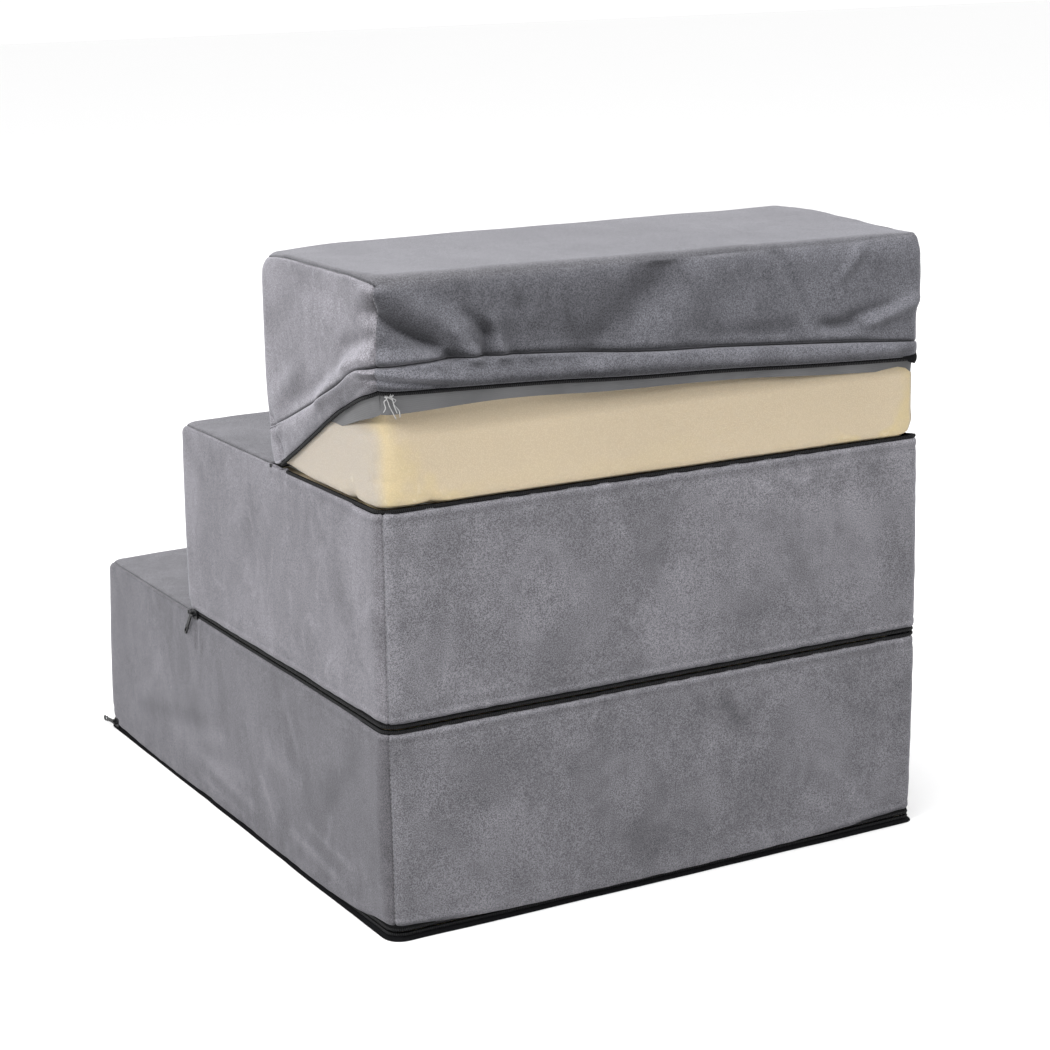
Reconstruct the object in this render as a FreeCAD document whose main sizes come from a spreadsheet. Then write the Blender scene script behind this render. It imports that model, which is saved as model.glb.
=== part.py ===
"""Three-tier foam pet stairs with a zip-off velvet cover, as a FreeCAD document.

+X is the right-hand side of a pet that climbs the stairs, +Y points to the tall back and +Z is up.
The floor is at z = 0. Sizes are in millimetres and live in the sheet called Sizes.
"""

import FreeCAD, Part
import math
import os
import Sketcher

doc = FreeCAD.newDocument("PetStairs")

# ---------------------------------------------------------------- driving sizes

SIZES = [
    ("Width", 434.0, "outer width across the cover"),
    ("Rise", 150.0, "height of one tier"),
    ("BottomDepth", 540.0, "depth of the bottom tier"),
    ("MiddleDepth", 352.0, "depth of the middle tier"),
    ("TopDepth", 176.0, "depth of the top tier"),
    ("RearFace", 279.0, "y of the flush back"),
    ("RearRadius", 14.0, "rounding of the upright rear corners"),
    ("CornerLap", 2.0, "from that rounding to the seam with the side"),
    ("NoseRadius", 9.0, "rounding of a step's nose"),
    ("TopRadius", 14.0, "rounding of the top cover's edges"),
    ("FoamUpright", 12.0, "rounding of the foam's upright corners"),
    ("FoamEdge", 6.0, "rounding of a lower foam block's top edges"),
    ("FoamTopEdge", 10.0, "rounding of the top foam block's top edges"),
    ("Cloth", 1.6, "thickness of the velvet cover"),
    ("FoamInset", 3.6, "from the cover's outer face to the foam"),
    ("FoamGap", 1.2, "from a tier's plane to the foam above it"),
    ("FoamDrop", 1.8, "from a tier's plane to the foam below it"),
    ("SeamGap", 0.5, "from a tread to the riser sewn along it"),
    ("ZipOpening", 3.6, "half the height of the slot that a zip shows in"),
    ("CoilReach", 3.05, "from a zip's middle to the outer edge of a coil"),
    ("CoilGap", 0.45, "from a zip's middle to the inner edge of a coil"),
    ("CoilDepth", 1.7, "depth of a coil behind the cover's outer face"),
    ("TapeDepth", 2.3, "from the cover's outer face to the tape's back"),
    ("TapeWidth", 12.0, "width of one zip tape"),
    ("BaseZip", 5.6, "height of the base zip's middle above the floor"),
    ("DotRadius", 2.5, "radius of a grip dot"),
    ("DotHeight", 0.8, "height of a grip dot"),
    ("DotPitch", 36.0, "widest spacing of the grip dots"),
    ("DotMargin", 20.0, "from the base's edge to the first dot"),
    ("BaseCloth", 1.1, "thickness of the base cloth"),
    ("Liner", 0.4, "thickness of the white liner"),
    ("LinerInset", 3.8, "from the cover's outer face to the liner's edge"),
    ("FoldTape", 0.6, "thickness of a fold tape"),
    ("FoldTapeWidth", 13.0, "width of a fold tape"),
    ("HemFront", 4.0, "height of the lifted hem's zip above the tier, at its front"),
    ("HemRear", 72.0, "height of the lifted hem's zip above the tier, at the back"),
    ("HemLead", 26.0, "from the riser to where the lifted hem starts to climb"),
    ("SliderLength", 9.6, "length of a zip slider"),
    ("SliderHeight", 7.4, "height of a slider's outer plate"),
    ("SliderPlate", 1.2, "thickness of a slider's outer plate"),
    ("SliderClear", 0.3, "from the cover's face to the slider's outer plate"),
    ("SliderCorner", 2.0, "rounding of the outer plate's corners"),
    ("InnerClear", 0.1, "from a zip tape to a slider's inner plate"),
    ("InnerPlate", 1.0, "thickness of a slider's inner plate"),
    ("InnerHeight", 6.4, "height of a slider's inner plate"),
    ("WebLength", 3.0, "length of the web between a slider's plates"),
    ("WebHeight", 0.7, "height of that web"),
    ("BailSpan", 6.6, "distance between the bail's posts"),
    ("BailPost", 0.8, "thickness of a bail's post"),
    ("BailWidth", 1.2, "width of the bail"),
    ("BailRise", 2.4, "clear height under the bail"),
    ("BaseSliderSetback", 8.8, "from the bottom riser to the base slider's middle"),
    ("MiddleSliderSetback", 18.0, "from the middle riser to its slider's middle"),
    ("TopSliderSetback", 14.0, "from the top riser to its slider's middle"),
    ("TabLength", 22.0, "from a pull tab's eye to its lower end's middle"),
    ("TabThick", 1.1, "thickness of a pull tab"),
    ("TabEyeRadius", 1.4, "radius of the hole that the bail passes through"),
    ("TabEndRadius", 2.2, "outer radius of a tab's two ends"),
    ("TabWaist", 3.0, "width of a tab between its ends"),
    ("TabSlotWidth", 1.8, "width of the slot in a tab's lower end"),
    ("TabSlotLength", 5.0, "length of that slot"),
    ("TabSlotCorner", 0.8, "rounding of the slot's ends"),
    ("StopLength", 2.0, "length of a zip stop"),
    ("StopThick", 0.8, "thickness of a zip stop"),
    ("ZipStart", 1.8, "from a riser to the start of its zip"),
]

sheet = doc.addObject("Spreadsheet::Sheet", "Sizes")
for row, (alias, value, note) in enumerate(SIZES, start=1):
    sheet.set(f"A{row}", note)
    sheet.set(f"B{row}", str(value))
    sheet.setAlias(f"B{row}", alias)
doc.recompute()


class Size:
    """A length with the sheet expression that gives it, so that one formula serves both."""

    def __init__(self, value, text):
        self.value = value
        self.text = text

    def joined(self, other, sign, value):
        text = other.text if isinstance(other, Size) else str(other)
        return Size(value, f"({self.text} {sign} {text})")

    def __add__(self, other):
        return self.joined(other, "+", self.value + number(other))

    def __sub__(self, other):
        return self.joined(other, "-", self.value - number(other))

    def __mul__(self, other):
        return self.joined(other, "*", self.value * number(other))

    def __truediv__(self, other):
        return self.joined(other, "/", self.value / number(other))

    def __neg__(self):
        return Size(-self.value, f"(0 - {self.text})")


def number(length):
    return length.value if isinstance(length, Size) else length


def bind(thing, path, length):
    """Bind a property to the sheet, or set it when it is a plain number."""
    if isinstance(length, Size):
        thing.setExpression(path, length.text)
    else:
        thing.setExpression(path, str(length))


size = {alias: Size(value, f"Sizes.{alias}") for alias, value, _ in SIZES}
zero = size["Width"] * 0

side = size["Width"] / 2
rear = size["RearFace"]
riser = {
    "bottom": rear - size["BottomDepth"],
    "middle": rear - size["MiddleDepth"],
    "top": rear - size["TopDepth"],
}
floor_of = {"bottom": zero, "middle": size["Rise"], "top": size["Rise"] * 2}
plane_of_zip = {"base": size["BaseZip"], "middle": size["Rise"], "top": size["Rise"] * 2}

# ---------------------------------------------------------------- modelling helpers


def origin_plane(body, role):
    return next(f for f in body.Origin.OriginFeatures if f.Role == role)


def new_body(label):
    body = doc.addObject("PartDesign::Body", label)
    body.Label = label
    return body


def new_sketch(body, name, role, offset):
    """An empty sketch on one of the body's own origin planes, moved along its normal."""
    sketch = body.newObject("Sketcher::SketchObject", f"{body.Name}_{name}")
    sketch.AttachmentSupport = [(origin_plane(body, role), "")]
    sketch.MapMode = "FlatFace"
    bind(sketch, "AttachmentOffset.Base.z", offset)
    return sketch


def pin_point(sketch, geometry, vertex, u, v):
    """Hold a sketch point at (u, v) from the sketch's origin."""
    for kind, length in (("DistanceX", u), ("DistanceY", v)):
        index = sketch.addConstraint(
            Sketcher.Constraint(kind, -1, 1, geometry, vertex, number(length))
        )
        bind(sketch, f"Constraints[{index}]", length)


def toward(corner, other, distance):
    """The point that lies the distance from a corner, along its upright or level edge."""
    moved = []
    for start, end in zip(corner, other):
        step = number(end) - number(start)
        moved.append(start if abs(step) < 1e-6 else start + distance * math.copysign(1, step))
    return tuple(moved)


def vector(point):
    return FreeCAD.Vector(number(point[0]), number(point[1]), 0)


def corner_arc(start, corner, end, radius):
    """The arc that rounds a square corner, and whether it runs anticlockwise."""
    centre = vector(start) + vector(end) - vector(corner)
    turn = (vector(corner) - vector(start)).cross(vector(end) - vector(corner)).z
    first, last = (start, end) if turn > 0 else (end, start)
    angles = [math.atan2(number(p[1]) - centre.y, number(p[0]) - centre.x) for p in (first, last)]
    if angles[1] < angles[0]:
        angles[1] += 2 * math.pi
    circle = Part.Circle(centre, FreeCAD.Vector(0, 0, 1), number(radius))
    return Part.ArcOfCircle(circle, *angles), turn > 0


def draw_polygon(sketch, points, rounding=None):
    """A closed outline through the points; rounding gives a radius to some square corners."""
    rounding = rounding or {}
    edges = []
    previous_end = None
    for index, corner in enumerate(points):
        before = points[index - 1]
        after = points[(index + 1) % len(points)]
        radius = rounding.get(index)
        start = toward(corner, before, radius) if radius else corner
        end = toward(corner, after, radius) if radius else corner
        if previous_end:
            edges.append((Part.LineSegment(vector(previous_end), vector(start)), True, previous_end, None))
        else:
            first_start = start
        if radius:
            edges.append((*corner_arc(start, corner, end, radius), start, radius))
        previous_end = end
    edges.append((Part.LineSegment(vector(previous_end), vector(first_start)), True, previous_end, None))

    base = sketch.GeometryCount
    for geometry, *_ in edges:
        sketch.addGeometry(geometry)
    for index, (_, forward, start, radius) in enumerate(edges):
        following = (index + 1) % len(edges)
        tail = 2 if forward else 1
        head = 1 if edges[following][1] else 2
        sketch.addConstraint(Sketcher.Constraint("Coincident", base + index, tail, base + following, head))
        pin_point(sketch, base + index, 1 if forward else 2, *start)
        if radius:
            constraint = sketch.addConstraint(Sketcher.Constraint("Radius", base + index, number(radius)))
            bind(sketch, f"Constraints[{constraint}]", radius)


def draw_circle(sketch, u, v, radius):
    circle = Part.Circle(FreeCAD.Vector(number(u), number(v), 0), FreeCAD.Vector(0, 0, 1), number(radius))
    index = sketch.addGeometry(circle)
    pin_point(sketch, index, 3, u, v)
    constraint = sketch.addConstraint(Sketcher.Constraint("Radius", index, number(radius)))
    bind(sketch, f"Constraints[{constraint}]", radius)


def pad(body, sketch, length, both_ways=False):
    feature = body.newObject("PartDesign::Pad", f"{sketch.Name}_pad")
    feature.Profile = sketch
    feature.SideType = "Symmetric" if both_ways else "One side"
    bind(feature, "Length", length)
    sketch.Visibility = False
    doc.recompute()
    return feature


def cut_through(body, sketch, length):
    """A pocket both ways from its sketch, which has to take some volume away."""
    before = body.Shape.Volume
    feature = body.newObject("PartDesign::Pocket", f"{sketch.Name}_pocket")
    feature.Profile = sketch
    feature.SideType = "Symmetric"
    bind(feature, "Length", length)
    doc.recompute()
    if body.Shape.Volume >= before:
        raise RuntimeError(f"{feature.Name} cuts nothing")
    return feature


def round_edges(body, axis, places, radius):
    """Fillet the edges parallel to the axis (0, 1, 2) that pass through the places."""
    others = [index for index in range(3) if index != axis]
    names = []
    for index, edge in enumerate(body.Shape.Edges, start=1):
        ends = [vertex.Point for vertex in edge.Vertexes]
        if len(ends) != 2:
            continue
        for place in places:
            off = max(abs(end[i] - number(at)) for end in ends for i, at in zip(others, place))
            if off < 0.01:
                names.append(f"Edge{index}")
    if len(names) != len(places):
        raise RuntimeError(f"{body.Label}: {len(names)} of {len(places)} edges found")
    base = body.Tip
    fillet = body.newObject("PartDesign::Fillet", f"{body.Name}_fillet")
    fillet.Base = (base, names)
    bind(fillet, "Radius", radius)
    doc.recompute()
    return fillet


def box(label, low, high):
    """A plain panel between two corners."""
    block = doc.addObject("Part::Box", label)
    block.Label = label
    for name, letter, start, end in zip(("Length", "Width", "Height"), "xyz", low, high):
        bind(block, name, end - start)
        bind(block, f"Placement.Base.{letter}", start)
    return block


# ---------------------------------------------------------------- foam blocks


def foam_block(tier):
    """A foam block with rounded upright corners and softened top edges."""
    body = new_body(f"{tier}_foam_block")
    half = side - size["FoamInset"]
    front = riser[tier] + size["FoamInset"]
    back = rear - size["FoamInset"]
    base_top = size["BaseCloth"] + size["DotHeight"]
    start = floor_of[tier] + (base_top if tier == "bottom" else size["FoamGap"])
    end = floor_of[tier] + size["Rise"] - size["FoamDrop"]
    outline = [(-half, front), (half, front), (half, back), (-half, back)]
    sketch = new_sketch(body, "outline", "XY_Plane", start)
    draw_polygon(sketch, outline)
    pad(body, sketch, end - start)
    round_edges(body, 2, outline, size["FoamUpright"])
    if tier == "top":
        round_edges(body, 0, [(front, end), (back, end)], size["FoamTopEdge"])
    else:
        round_edges(body, 0, [(front, end)], size["FoamEdge"])
    return body


# ---------------------------------------------------------------- cover panels


def step_strip(tier):
    """One strip of velvet over a step: its riser, its rounded nose and its tread."""
    body = new_body(f"{tier}_step_strip")
    above = {"bottom": "middle", "middle": "top"}[tier]
    foot = plane_of_zip["base"] - size["CoilReach"] if tier == "bottom" else size["SeamGap"]
    low = floor_of[tier] + foot
    front = riser[tier]
    end = riser[above]
    top = floor_of[above]
    cloth = size["Cloth"]
    outline = [
        (front, low),
        (front + cloth, low),
        (front + cloth, top - cloth),
        (end, top - cloth),
        (end, top),
        (front, top),
    ]
    sketch = new_sketch(body, "section", "YZ_Plane", zero)
    draw_polygon(sketch, outline)
    pad(body, sketch, (side - cloth) * 2, both_ways=True)
    round_edges(body, 0, [outline[5]], size["NoseRadius"])
    round_edges(body, 0, [outline[2]], size["NoseRadius"] - cloth)
    return body


def side_panel(tier, hand, sign):
    """The flat side of a tier: level with the tread at the front, lower along the zip."""
    body = new_body(f"{tier}_side_panel_{hand}")
    base = size["BaseZip"] if tier == "bottom" else zero
    above = {"bottom": "middle", "middle": "top"}[tier]
    low = floor_of[tier] + base + size["ZipOpening"]
    top = floor_of[above]
    end = rear - size["RearRadius"] - size["CornerLap"]
    step = riser[above]
    outline = [
        (riser[tier], low),
        (end, low),
        (end, top - size["ZipOpening"]),
        (step, top - size["ZipOpening"]),
        (step, top),
        (riser[tier], top),
    ]
    sketch = new_sketch(body, "outline", "YZ_Plane", (side - size["Cloth"] / 2) * sign)
    draw_polygon(sketch, outline)
    pad(body, sketch, size["Cloth"], both_ways=True)
    round_edges(body, 0, [outline[5]], size["NoseRadius"])
    return body


def rear_band(body, name, start, end, outer, inner, front):
    """A band round the back: two legs and the back wall, with rounded rear corners."""
    half_out = side - outer
    half_in = side - inner
    back_out = rear - outer
    back_in = rear - inner
    outline = [
        (half_out, front),
        (half_out, back_out),
        (-half_out, back_out),
        (-half_out, front),
        (-half_in, front),
        (-half_in, back_in),
        (half_in, back_in),
        (half_in, front),
    ]
    outer_radius = size["RearRadius"] - outer
    inner_radius = size["RearRadius"] - inner
    rounding = {1: outer_radius, 2: outer_radius, 5: inner_radius, 6: inner_radius}
    sketch = new_sketch(body, name, "XY_Plane", start)
    draw_polygon(sketch, outline, rounding)
    pad(body, sketch, end - start)


def back_panel(tier):
    """The back of a tier, turned round both rear corners to the side panels."""
    body = new_body(f"{tier}_back_panel")
    base = size["BaseZip"] if tier == "bottom" else zero
    above = {"bottom": "middle", "middle": "top"}[tier]
    start = floor_of[tier] + base + size["ZipOpening"]
    end = floor_of[above] - size["ZipOpening"]
    front = rear - size["RearRadius"] - size["CornerLap"]
    rear_band(body, "band", start, end, zero, size["Cloth"], front)
    return body


def top_cover_strip():
    """One strip over the top tier: riser, top and back, with the back's hem lifted."""
    body = new_body("top_step_strip")
    cloth = size["Cloth"]
    low = floor_of["top"] + size["SeamGap"]
    high = floor_of["top"] + size["Rise"]
    hem = floor_of["top"] + size["HemRear"]
    front = riser["top"]
    outline = [
        (front, low),
        (front + cloth, low),
        (front + cloth, high - cloth),
        (rear - cloth, high - cloth),
        (rear - cloth, hem),
        (rear, hem),
        (rear, high),
        (front, high),
    ]
    sketch = new_sketch(body, "section", "YZ_Plane", zero)
    draw_polygon(sketch, outline)
    pad(body, sketch, (side - cloth) * 2, both_ways=True)
    round_edges(body, 0, [outline[6], outline[7]], size["TopRadius"])
    round_edges(body, 0, [outline[2], outline[3]], size["TopRadius"] - cloth)
    return body


def top_side_panel(hand, sign):
    """A side of the top cover, whose hem climbs from the riser to the lifted back."""
    body = new_body(f"top_side_panel_{hand}")
    floor = floor_of["top"]
    high = floor + size["Rise"]
    front = riser["top"]
    outline = [
        (front, floor + size["HemFront"]),
        (front + size["HemLead"], floor + size["HemFront"]),
        (rear, floor + size["HemRear"]),
        (rear, high),
        (front, high),
    ]
    sketch = new_sketch(body, "outline", "YZ_Plane", (side - size["Cloth"] / 2) * sign)
    draw_polygon(sketch, outline)
    pad(body, sketch, size["Cloth"], both_ways=True)
    round_edges(body, 0, outline[3:], size["TopRadius"])
    return body


# ---------------------------------------------------------------- zips


def zip_half(label, zip_name, upper, tape_width):
    """Half a zip round both sides and the back: a coil, with its tape behind the cover."""
    body = new_body(label)
    middle = plane_of_zip[zip_name]
    tier = "bottom" if zip_name == "base" else zip_name
    front = riser[tier] + size["ZipStart"]
    sign = 1 if upper else -1
    near = middle + size["CoilGap"] * sign
    far = middle + size["CoilReach"] * sign
    tape_end = near + tape_width * sign
    coil_span = sorted([near, far], key=number)
    tape_span = sorted([near, tape_end], key=number)
    rear_band(body, "coil", *coil_span, zero, size["CoilDepth"], front)
    rear_band(body, "tape", *tape_span, size["CoilDepth"], size["TapeDepth"], front)
    return body


def lifted_zip_half():
    """The top cover's half of the open zip, which climbs both sides and crosses the back."""
    body = new_body("top_zip_upper")
    floor = floor_of["top"]
    front = riser["top"] + size["HemLead"]
    low = floor + size["HemFront"] - size["ZipOpening"]
    high = floor + size["HemRear"] - size["ZipOpening"]
    coil = size["CoilReach"] - size["CoilGap"]
    outline = [(front, low), (rear, high), (rear, high + coil), (front, low + coil)]
    sketch = new_sketch(body, "climb", "YZ_Plane", zero)
    draw_polygon(sketch, outline)
    pad(body, sketch, side * 2, both_ways=True)
    hollow = new_sketch(body, "hollow", "YZ_Plane", zero)
    reach = size["Rise"] * 2
    inner = rear - size["CoilDepth"]
    draw_polygon(hollow, [(front - reach, low), (inner, low), (inner, low + reach), (front - reach, low + reach)])
    cut_through(body, hollow, (side - size["CoilDepth"]) * 2)
    return body


def zip_stops(zip_name):
    """The metal stops clamped over the lower coil's two ends."""
    tier = "bottom" if zip_name == "base" else zip_name
    middle = plane_of_zip[zip_name]
    front = riser[tier] + size["ZipStart"]
    body = doc.addObject("Part::Compound", f"{zip_name}_zip_stops")
    body.Label = f"{zip_name}_zip_stops"
    stops = []
    for hand, start in (("right", side), ("left", -side - size["StopThick"])):
        low = [start, front, middle - size["CoilReach"]]
        high = [start + size["StopThick"], front + size["StopLength"], middle - size["CoilGap"]]
        stops.append(box(f"{zip_name}_stop_{hand}", low, high))
    body.Links = stops
    return body


def zip_slider(zip_name, sign, setback):
    """A slider: outer and inner plates joined by a web, with a bail for the pull tab."""
    body = new_body(f"{zip_name}_zip_slider")
    half_length = size["SliderLength"] / 2
    half_height = size["SliderHeight"] / 2
    plate = [
        (-half_length, -half_height),
        (half_length, -half_height),
        (half_length, half_height),
        (-half_length, half_height),
    ]
    outer_face = size["SliderClear"] + size["SliderPlate"]
    outer = new_sketch(body, "outer", "YZ_Plane", size["SliderClear"])
    draw_polygon(outer, plate)
    pad(body, outer, size["SliderPlate"])
    round_edges(body, 0, plate, size["SliderCorner"])

    web_depth = size["TapeDepth"] + size["InnerClear"]
    web = new_sketch(body, "web", "YZ_Plane", -web_depth)
    half_web = size["WebLength"] / 2
    half_slot = size["WebHeight"] / 2
    draw_polygon(
        web, [(-half_web, -half_slot), (half_web, -half_slot), (half_web, half_slot), (-half_web, half_slot)]
    )
    pad(body, web, size["SliderClear"] + web_depth)

    inner = new_sketch(body, "inner", "YZ_Plane", -web_depth - size["InnerPlate"])
    lower = size["InnerHeight"] / 2
    draw_polygon(
        inner, [(-half_length, -lower), (half_length, -lower), (half_length, lower), (-half_length, lower)]
    )
    pad(body, inner, size["InnerPlate"])

    bail = new_sketch(body, "bail", "XY_Plane", zero)
    reach = outer_face + size["BailRise"]
    crown = reach + size["BailPost"]
    out = size["BailSpan"] / 2 + size["BailPost"] / 2
    inside = out - size["BailPost"]
    draw_polygon(
        bail,
        [
            (outer_face, -out),
            (crown, -out),
            (crown, out),
            (outer_face, out),
            (outer_face, inside),
            (reach, inside),
            (reach, -inside),
            (outer_face, -inside),
        ],
    )
    pad(body, bail, size["BailWidth"], both_ways=True)
    round_edges(body, 2, [(crown, -out), (crown, out)], size["BailPost"])

    tier = "bottom" if zip_name == "base" else zip_name
    bind(body, "Placement.Base.x", side * sign)
    bind(body, "Placement.Base.y", riser[tier] + setback)
    bind(body, "Placement.Base.z", plane_of_zip[zip_name])
    if sign < 0:
        body.Placement.Rotation = FreeCAD.Rotation(FreeCAD.Vector(0, 0, 1), 180)
    return body


def pull_tab(zip_name, sign, setback, lean):
    """A flat tab on the bail's front post; lean is how far its end swings forward of hanging."""
    body = new_body(f"{zip_name}_pull_tab")
    length = size["TabLength"]
    end_radius = size["TabEndRadius"]
    half_waist = size["TabWaist"] / 2
    plate = new_sketch(body, "waist", "YZ_Plane", zero)
    draw_polygon(
        plate, [(-half_waist, -length), (half_waist, -length), (half_waist, zero), (-half_waist, zero)]
    )
    pad(body, plate, size["TabThick"], both_ways=True)
    for name, height in (("eye", zero), ("tip", -length), ("shoulder", -length + size["TabSlotLength"])):
        ring = new_sketch(body, name, "YZ_Plane", zero)
        draw_circle(ring, zero, height, end_radius)
        pad(body, ring, size["TabThick"], both_ways=True)
    hole = new_sketch(body, "hole", "YZ_Plane", zero)
    draw_circle(hole, zero, zero, size["TabEyeRadius"])
    cut_through(body, hole, size["TabThick"] * 3)
    slot = new_sketch(body, "slot", "YZ_Plane", zero)
    half_slot = size["TabSlotWidth"] / 2
    slot_top = -length + size["TabSlotLength"]
    draw_polygon(slot, [(-half_slot, -length), (half_slot, -length), (half_slot, slot_top), (-half_slot, slot_top)])
    cut_through(body, slot, size["TabThick"] * 3)
    round_edges(
        body,
        0,
        [(-half_slot, -length), (half_slot, -length), (half_slot, slot_top), (-half_slot, slot_top)],
        size["TabSlotCorner"],
    )

    tier = "bottom" if zip_name == "base" else zip_name
    lift = size["SliderClear"] + size["SliderPlate"] + size["BailRise"] / 2
    bind(body, "Placement.Base.x", (side + lift) * sign)
    bind(body, "Placement.Base.y", riser[tier] + setback - size["BailSpan"] / 2)
    bind(body, "Placement.Base.z", plane_of_zip[zip_name])
    body.Placement.Rotation = FreeCAD.Rotation(FreeCAD.Vector(1, 0, 0), -lean)
    return body


# ---------------------------------------------------------------- base, liners and fold tapes


def base_cloth():
    """The black base cloth with its moulded grip dots underneath."""
    body = new_body("base_cloth")
    inset = size["FoamInset"]
    half = side - inset
    front = riser["bottom"] + inset
    back = rear - inset
    outline = [(-half, front), (half, front), (half, back), (-half, back)]
    plate = new_sketch(body, "plate", "XY_Plane", size["DotHeight"])
    draw_polygon(plate, outline)
    pad(body, plate, size["BaseCloth"])
    round_edges(body, 2, outline[2:], size["RearRadius"] - inset)

    dot = new_sketch(body, "dot", "XY_Plane", zero)
    first_x = -half + size["DotMargin"]
    first_y = front + size["DotMargin"]
    draw_circle(dot, first_x, first_y, size["DotRadius"])
    first_dot = pad(body, dot, size["DotHeight"])
    pattern = body.newObject("PartDesign::LinearPattern", "grip_dots")
    pattern.Originals = [first_dot]
    pattern.Direction = (origin_plane(body, "X_Axis"), [""])
    pattern.Direction2 = (origin_plane(body, "Y_Axis"), [""])
    pattern.Mode = "Extent"
    pattern.Mode2 = "Extent"
    across = half * 2 - size["DotMargin"] * 2
    along = back - front - size["DotMargin"] * 2
    bind(pattern, "Length", across)
    bind(pattern, "Length2", along)
    pattern.Occurrences = 1 + math.ceil(across.value / size["DotPitch"].value)
    pattern.Occurrences2 = 1 + math.ceil(along.value / size["DotPitch"].value)
    body.Tip = pattern
    doc.recompute()
    return body


def liner(tier, above):
    """The white liner that closes a lower tier under the one that stands on it."""
    body = new_body(f"{tier}_liner")
    inset = size["LinerInset"]
    half = side - inset
    front = riser[above] + size["SeamGap"]
    back = rear - inset
    outline = [(-half, front), (half, front), (half, back), (-half, back)]
    rounding = {2: size["RearRadius"] - inset, 3: size["RearRadius"] - inset}
    sketch = new_sketch(body, "outline", "XY_Plane", floor_of[above] - size["Cloth"])
    draw_polygon(sketch, outline, rounding)
    pad(body, sketch, size["Liner"])
    return body


def fold_tape(tier):
    """The tape sewn across the fold, on the liner just behind a tier's riser seam."""
    inset = size["LinerInset"]
    base = floor_of[tier] - size["Cloth"] + size["Liner"]
    start = riser[tier] + size["SeamGap"]
    low = [inset - side, start, base]
    high = [side - inset, start + size["FoldTapeWidth"], base + size["FoldTape"]]
    return box(f"{tier}_fold_tape", low, high)


# ---------------------------------------------------------------- the assembly

HANDS = (("right", 1), ("left", -1))
BASE_TAPE = size["BaseZip"] - size["CoilGap"] - size["BaseCloth"] - size["DotHeight"]

parts = [base_cloth()]
for tier_name, next_tier in (("bottom", "middle"), ("middle", "top")):
    parts.append(foam_block(tier_name))
    parts.append(step_strip(tier_name))
    parts.append(back_panel(tier_name))
    parts.append(liner(tier_name, next_tier))
    parts.append(fold_tape(next_tier))
    for hand_name, hand_sign in HANDS:
        parts.append(side_panel(tier_name, hand_name, hand_sign))

parts.append(foam_block("top"))
parts.append(top_cover_strip())
for hand_name, hand_sign in HANDS:
    parts.append(top_side_panel(hand_name, hand_sign))

parts.append(zip_half("base_zip_lower", "base", False, BASE_TAPE))
parts.append(zip_half("base_zip_upper", "base", True, size["TapeWidth"]))
parts.append(zip_half("middle_zip_lower", "middle", False, size["TapeWidth"]))
parts.append(zip_half("middle_zip_upper", "middle", True, size["TapeWidth"]))
parts.append(zip_half("top_zip_lower", "top", False, size["TapeWidth"]))
parts.append(lifted_zip_half())

SLIDERS = (
    ("base", 1, size["BaseSliderSetback"], 83),
    ("middle", 1, size["MiddleSliderSetback"], 38),
    ("top", -1, size["TopSliderSetback"], 12),
)
for name_of_zip, hand_sign, distance, forward_lean in SLIDERS:
    parts.append(zip_stops(name_of_zip))
    parts.append(zip_slider(name_of_zip, hand_sign, distance))
    parts.append(pull_tab(name_of_zip, hand_sign, distance, forward_lean))

# ---------------------------------------------------------------- checks and export

doc.recompute()
for thing in doc.Objects:
    if {"Invalid", "Error"} & set(thing.State):
        raise RuntimeError(f"{thing.Label} did not compute: {thing.State}")

os.makedirs("parts", exist_ok=True)
for part in parts:
    shape = part.Shape
    if shape.isNull() or not shape.isValid():
        raise RuntimeError(f"{part.Label} has no valid shape")
    if len(shape.Solids) < 1:
        raise RuntimeError(f"{part.Label} has no solid")
    shape.exportStep(f"parts/{part.Label}.step")
print(f"{len(parts)} parts written")
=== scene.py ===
"""Looks for folding foam pet stairs: a velvet cover over stacked foam, with zips round each tier."""

import math

import bpy
import numpy as np
from mathutils import Matrix, Vector


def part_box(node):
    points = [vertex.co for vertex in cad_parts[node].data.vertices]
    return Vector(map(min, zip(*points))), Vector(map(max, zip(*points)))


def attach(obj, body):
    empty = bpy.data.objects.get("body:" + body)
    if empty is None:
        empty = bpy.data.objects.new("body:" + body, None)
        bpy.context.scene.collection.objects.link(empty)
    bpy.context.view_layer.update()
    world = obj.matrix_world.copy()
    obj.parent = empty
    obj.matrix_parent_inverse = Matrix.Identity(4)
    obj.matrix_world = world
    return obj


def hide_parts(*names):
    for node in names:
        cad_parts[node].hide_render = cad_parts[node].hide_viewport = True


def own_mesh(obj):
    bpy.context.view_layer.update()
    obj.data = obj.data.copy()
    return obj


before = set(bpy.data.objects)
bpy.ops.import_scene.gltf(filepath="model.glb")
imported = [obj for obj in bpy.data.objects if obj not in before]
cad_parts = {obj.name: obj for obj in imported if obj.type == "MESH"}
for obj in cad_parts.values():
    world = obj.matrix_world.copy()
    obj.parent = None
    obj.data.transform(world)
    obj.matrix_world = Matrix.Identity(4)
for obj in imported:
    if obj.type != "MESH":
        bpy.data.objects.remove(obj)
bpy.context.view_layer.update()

bl_info = {
    "name": "Foam Pet Stairs",
    "version": (1, 0, 0),
    "blender": (4, 5, 0),
    "location": "3D View > Sidebar > Pet Stairs",
    "description": "Velvet-covered foam stairs with zips, foam, liners and a small studio",
    "category": "Object",
}

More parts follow.
